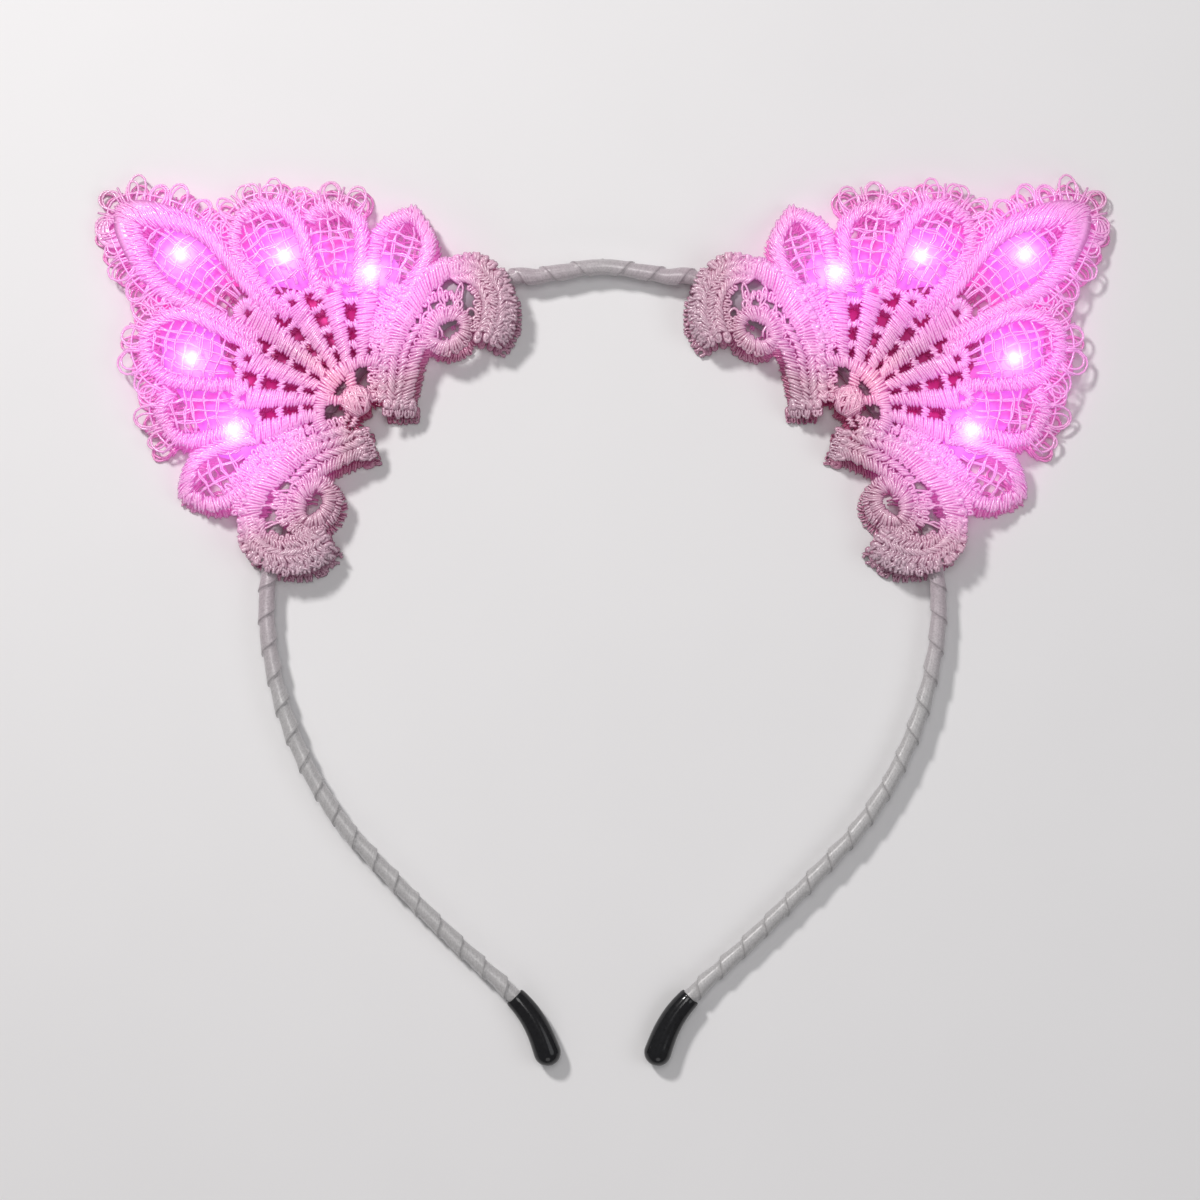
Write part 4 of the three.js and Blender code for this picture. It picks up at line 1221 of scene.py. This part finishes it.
def bandMesh():
    start = cap["length"] - cap["bore"] + ear["gap"]
    span = routeLength - 2 * start
    count = round(span / band["ringGap"])
    along = start + span * np.arange(count + 1) / count
    centre = atShares(route, along / routeLength)
    ahead = np.gradient(centre, axis=0)
    ahead /= np.linalg.norm(ahead, axis=1, keepdims=True)
    across = np.cross([0, 0, 1.0], ahead)
    across /= np.linalg.norm(across, axis=1, keepdims=True)
    up = np.cross(ahead, across)
    points = band["ringPoints"]
    turn = np.arange(points) / points
    fromCrown = np.abs(along - routeLength / 2)
    wound = fromCrown[:, None] / ribbonLook["winding"] + turn[None]
    random = np.random.default_rng(3)
    slip = random.uniform(-band["slip"], band["slip"], band["windings"])
    nearest = np.clip(wound.astype(int), 0, band["windings"] - 1)
    wound = wound + slip[nearest] * (1 - (2 * (wound % 1) - 1) ** 2)
    share = wound % 1
    radius = band["thick"] / 2 - 0.1 + band["step"] * share**2
    high, often = band["ripple"]
    radius += high * np.sin(fromCrown[:, None] * often + 4 * turn[None])
    angle = 2 * math.pi * turn
    ring = (np.cos(angle)[None, :, None] * across[:, None] + np.sin(angle)[None, :, None] * up[:, None])
    corners = centre[:, None] + radius[..., None] * ring
    index = np.arange(corners.shape[0] * points).reshape(-1, points)
    near, far = index[:-1], index[1:]
    quads = np.stack([near, np.roll(near, -1, axis=1), np.roll(far, -1, axis=1), far], axis=-1)
    faces = quads.reshape(-1, 4).tolist() + [index[0, ::-1].tolist(), index[-1].tolist()]
    mesh = bpy.data.meshes.new("ribbon_wound_band")
    mesh.from_pydata(corners.reshape(-1, 3) * mm, [], faces)
    turnEnd = turn + 1 / points
    over = np.stack(np.broadcast_arrays(turn[None], turnEnd[None]), axis=-1)[0]
    first = fromCrown[:-1, None] + 0 * turn[None]
    second = fromCrown[1:, None] + 0 * turn[None]
    cornerAlong = np.stack([first, first, second, second], axis=-1)
    cornerTurn = np.stack([over[:, 0], over[:, 1], over[:, 1], over[:, 0]], axis=-1)[None]
    width = cornerAlong + cornerTurn * ribbonLook["winding"]
    length = cornerTurn * math.pi * band["thick"] + 0 * cornerAlong
    uv = np.stack([width, length], axis=-1).reshape(-1, 2)
    uv = np.vstack([uv, np.zeros((2 * points, 2))])
    layer = mesh.uv_layers.new(name="thread")
    layer.data.foreach_set("uv", uv.astype(np.float32).ravel())
    mesh.shade_smooth()
    mesh.materials.append(finishes["ribbon"])
    piece = bpy.data.objects.new("ribbon_wound_band", mesh)
    bpy.context.collection.objects.link(piece)
    return piece


settle(bandMesh(), "wrapped_band")
print("band wound")


# Pieces that are shaped straight along X and then bent to a stretch of the band's route
def bendAlong(piece, path):
    curve = bpy.data.curves.new("bend", "CURVE")
    curve.dimensions = "3D"
    curve.twist_mode = "Z_UP"
    line = curve.splines.new("POLY")
    line.points.add(len(path) - 1)
    for point, place in zip(line.points, path):
        point.co = (*(place * mm), 1)
    guide = bpy.data.objects.new("bend", curve)
    bpy.context.collection.objects.link(guide)
    modifier = piece.modifiers.new("bend", "CURVE")
    modifier.object = guide
    modifier.deform_axis = "POS_X"
    bpy.context.view_layer.objects.active = piece
    bpy.ops.object.modifier_apply(modifier=modifier.name)
    bpy.data.objects.remove(guide)


# A round bar along X, turned to a profile of (share of the length, radius), open at no end
def turnedBar(name, length, profile, points):
    bpy.ops.mesh.primitive_circle_add(vertices=points, radius=profile[0][1] * mm, fill_type="NGON",
                                      location=(profile[0][0] * length * mm, 0, 0), rotation=(0, math.pi / 2, 0))
    piece = bpy.context.object
    piece.name = piece.data.name = name
    bpy.ops.object.transform_apply(location=True, rotation=True, scale=True)
    bpy.ops.object.mode_set(mode="EDIT")
    bpy.ops.mesh.select_all(action="SELECT")
    for (before, wasRadius), (share, radius) in zip(profile, profile[1:]):
        ahead = ((share - before) * length * mm, 0, 0)
        bpy.ops.mesh.extrude_region_move(TRANSFORM_OT_translate={"value": ahead})
        scale = radius / wasRadius
        middle = (share * length * mm, 0, 0)
        bpy.ops.transform.resize(value=(1, scale, scale), center_override=middle)
    bpy.ops.mesh.select_all(action="SELECT")
    bpy.ops.mesh.normals_make_consistent(inside=False)
    bpy.ops.object.mode_set(mode="OBJECT")
    bpy.ops.object.shade_smooth()
    return piece


def capProfile():
    bore = band["thick"] / 2 + ear["gap"]
    straight = 1 - cap["tip"] / 2 / cap["length"]
    rows = [(0.42, bore * 0.3), (0.45, bore), (0.02, bore), (0, bore + 0.15), (0, cap["mouth"] / 2 - 0.12),
            (0.02, cap["mouth"] / 2)]
    for share in np.linspace(0.1, 1, 9):
        rows.append((share * straight, (cap["mouth"] + (cap["tip"] - cap["mouth"]) * share**0.9) / 2))
    for turn in np.linspace(12, 88, 8):
        angle = math.radians(turn)
        rows.append((straight + (1 - straight) * math.sin(angle), cap["tip"] / 2 * math.cos(angle)))
    return rows


for word, side in words.items():
    share = np.linspace(cap["length"], 0, 30) / routeLength
    path = atShares(route, 1 - share if side > 0 else share)
    piece = turnedBar("rubber_cap_" + word, cap["length"], capProfile(), 28)
    bendAlong(piece, path)
    piece.data.materials.append(finishes["rubber"])
    settle(piece, "end_cap_" + word)
print("caps made")


# The sleeve over the cells, around the band under the upper scroll
sleeve = {"length": 14, "wide": 8.6, "high": 4.4, "pinch": 0.7}
for word, side in words.items():
    bore = band["thick"] / 2 + ear["gap"]
    half = sleeve["wide"] / 2
    neck = half * sleeve["pinch"]
    profile = [(0.5, bore), (0.02, bore), (0, bore + 0.3), (0, neck - 0.3), (0.02, neck)]
    for share in np.linspace(0.06, 0.94, 13):
        swell = 1 - (1 - sleeve["pinch"]) * abs(2 * share - 1) ** 5
        profile.append((share, half * (swell + 0.015 * math.sin(29 * share))))
    profile += [(0.98, neck), (1, neck - 0.3), (1, bore + 0.3), (0.98, bore), (0.5, bore)]
    piece = turnedBar("cell_sleeve_" + word, sleeve["length"], profile, 32)
    for corner in piece.data.vertices:
        radius = math.hypot(corner.co.y, corner.co.z)
        if radius > (bore + 0.2) * mm:
            corner.co.z *= sleeve["high"] / sleeve["wide"]
    middle = routeLength / 2 + side * (math.radians(90 - ear["turn"]) - sleeveTurn) * ear["bandRadius"]
    share = (middle + np.linspace(-0.5, 0.5, 30) * sleeve["length"]) / routeLength
    bendAlong(piece, atShares(route, share))
    piece.data.materials.append(finishes["sleeve"])
    settle(piece, "battery_sleeve_" + word)

# Lights: round drops, each on the lead of its ear
drop = {"radius": 1.9, "flatBase": 0.35}
for word, side in words.items():
    for number, place in enumerate(lightPlaces, 1):
        node = "light_%s_%d" % (word, number)
        low, high = boxOf(node)
        centre = (low + high) / 2
        bpy.ops.mesh.primitive_uv_sphere_add(segments=24, ring_count=14, radius=drop["radius"] * mm,
                                             location=centre * mm)
        piece = bpy.context.object
        piece.name = piece.data.name = "round_" + node
        bpy.ops.object.transform_apply(location=True, rotation=True, scale=True)
        bpy.ops.object.mode_set(mode="EDIT")
        bpy.ops.mesh.select_all(action="SELECT")
        scale = (high[2] - low[2]) / (2 * drop["radius"])
        bpy.ops.transform.resize(value=(1, 1, scale), center_override=centre * mm)
        bpy.ops.mesh.bisect(plane_co=(0, 0, (low[2] + drop["flatBase"]) * mm), plane_no=(0, 0, -1),
                            use_fill=True, clear_outer=True)
        bpy.ops.object.mode_set(mode="OBJECT")
        bpy.ops.object.shade_smooth()
        piece.data.materials.append(finishes["light"])
        settle(piece, node)

# The lead from light to light: two fine wires twisted together
lead = {"wire": 0.22, "apart": 0.2, "twist": 2.6, "tail": 5, "beside": 2.6, "high": 2.65}
for word, side in words.items():
    sleeveSide = (ear["bandRadius"] + sleeve["wide"] / 2 + 0.7) / ear["bandRadius"]
    first = sleeveSide * (sleeveSpot + (hubRadius, 0)) - (hubRadius, 0)
    knots = [(*first, bandMiddle)]
    for index in ear["lightOrder"]:
        place = lightPlaces[index]
        knots.append((*(place * (1 - lead["beside"] / np.hypot(*place))), lead["high"]))
    onward = lightPlaces[ear["lightOrder"][-1]] - lightPlaces[ear["lightOrder"][-2]]
    tail = onward / np.hypot(*onward) * lead["tail"]
    knots.append((*(np.array(knots[-1][:2]) + tail), lead["high"]))
    path = evenly(spline(knots), 260)
    beat = np.linspace(0, lengthOf(path) / lead["twist"] * 2 * math.pi, len(path))
    batches = []
    for phase in (0, math.pi):
        aside = beside(path[:, :2], lead["apart"] * np.cos(beat + phase))
        high = path[:, 2] + lead["apart"] * np.sin(beat + phase)
        placed = np.concatenate([aboutHead(aside, side) + head, high[:, None]], axis=1)
        batches.append((placed[None], np.full((1, len(path)), lead["wire"]), 1, 5))
    piece = threadMesh("twisted_lead_" + word, batches, finishes["wire"])
    settle(piece, "light_wire_" + word)

    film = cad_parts["glow_film_" + word]
    film.data.materials.clear()
    film.data.materials.append(finishes["film"])
print("lights, leads and films made")
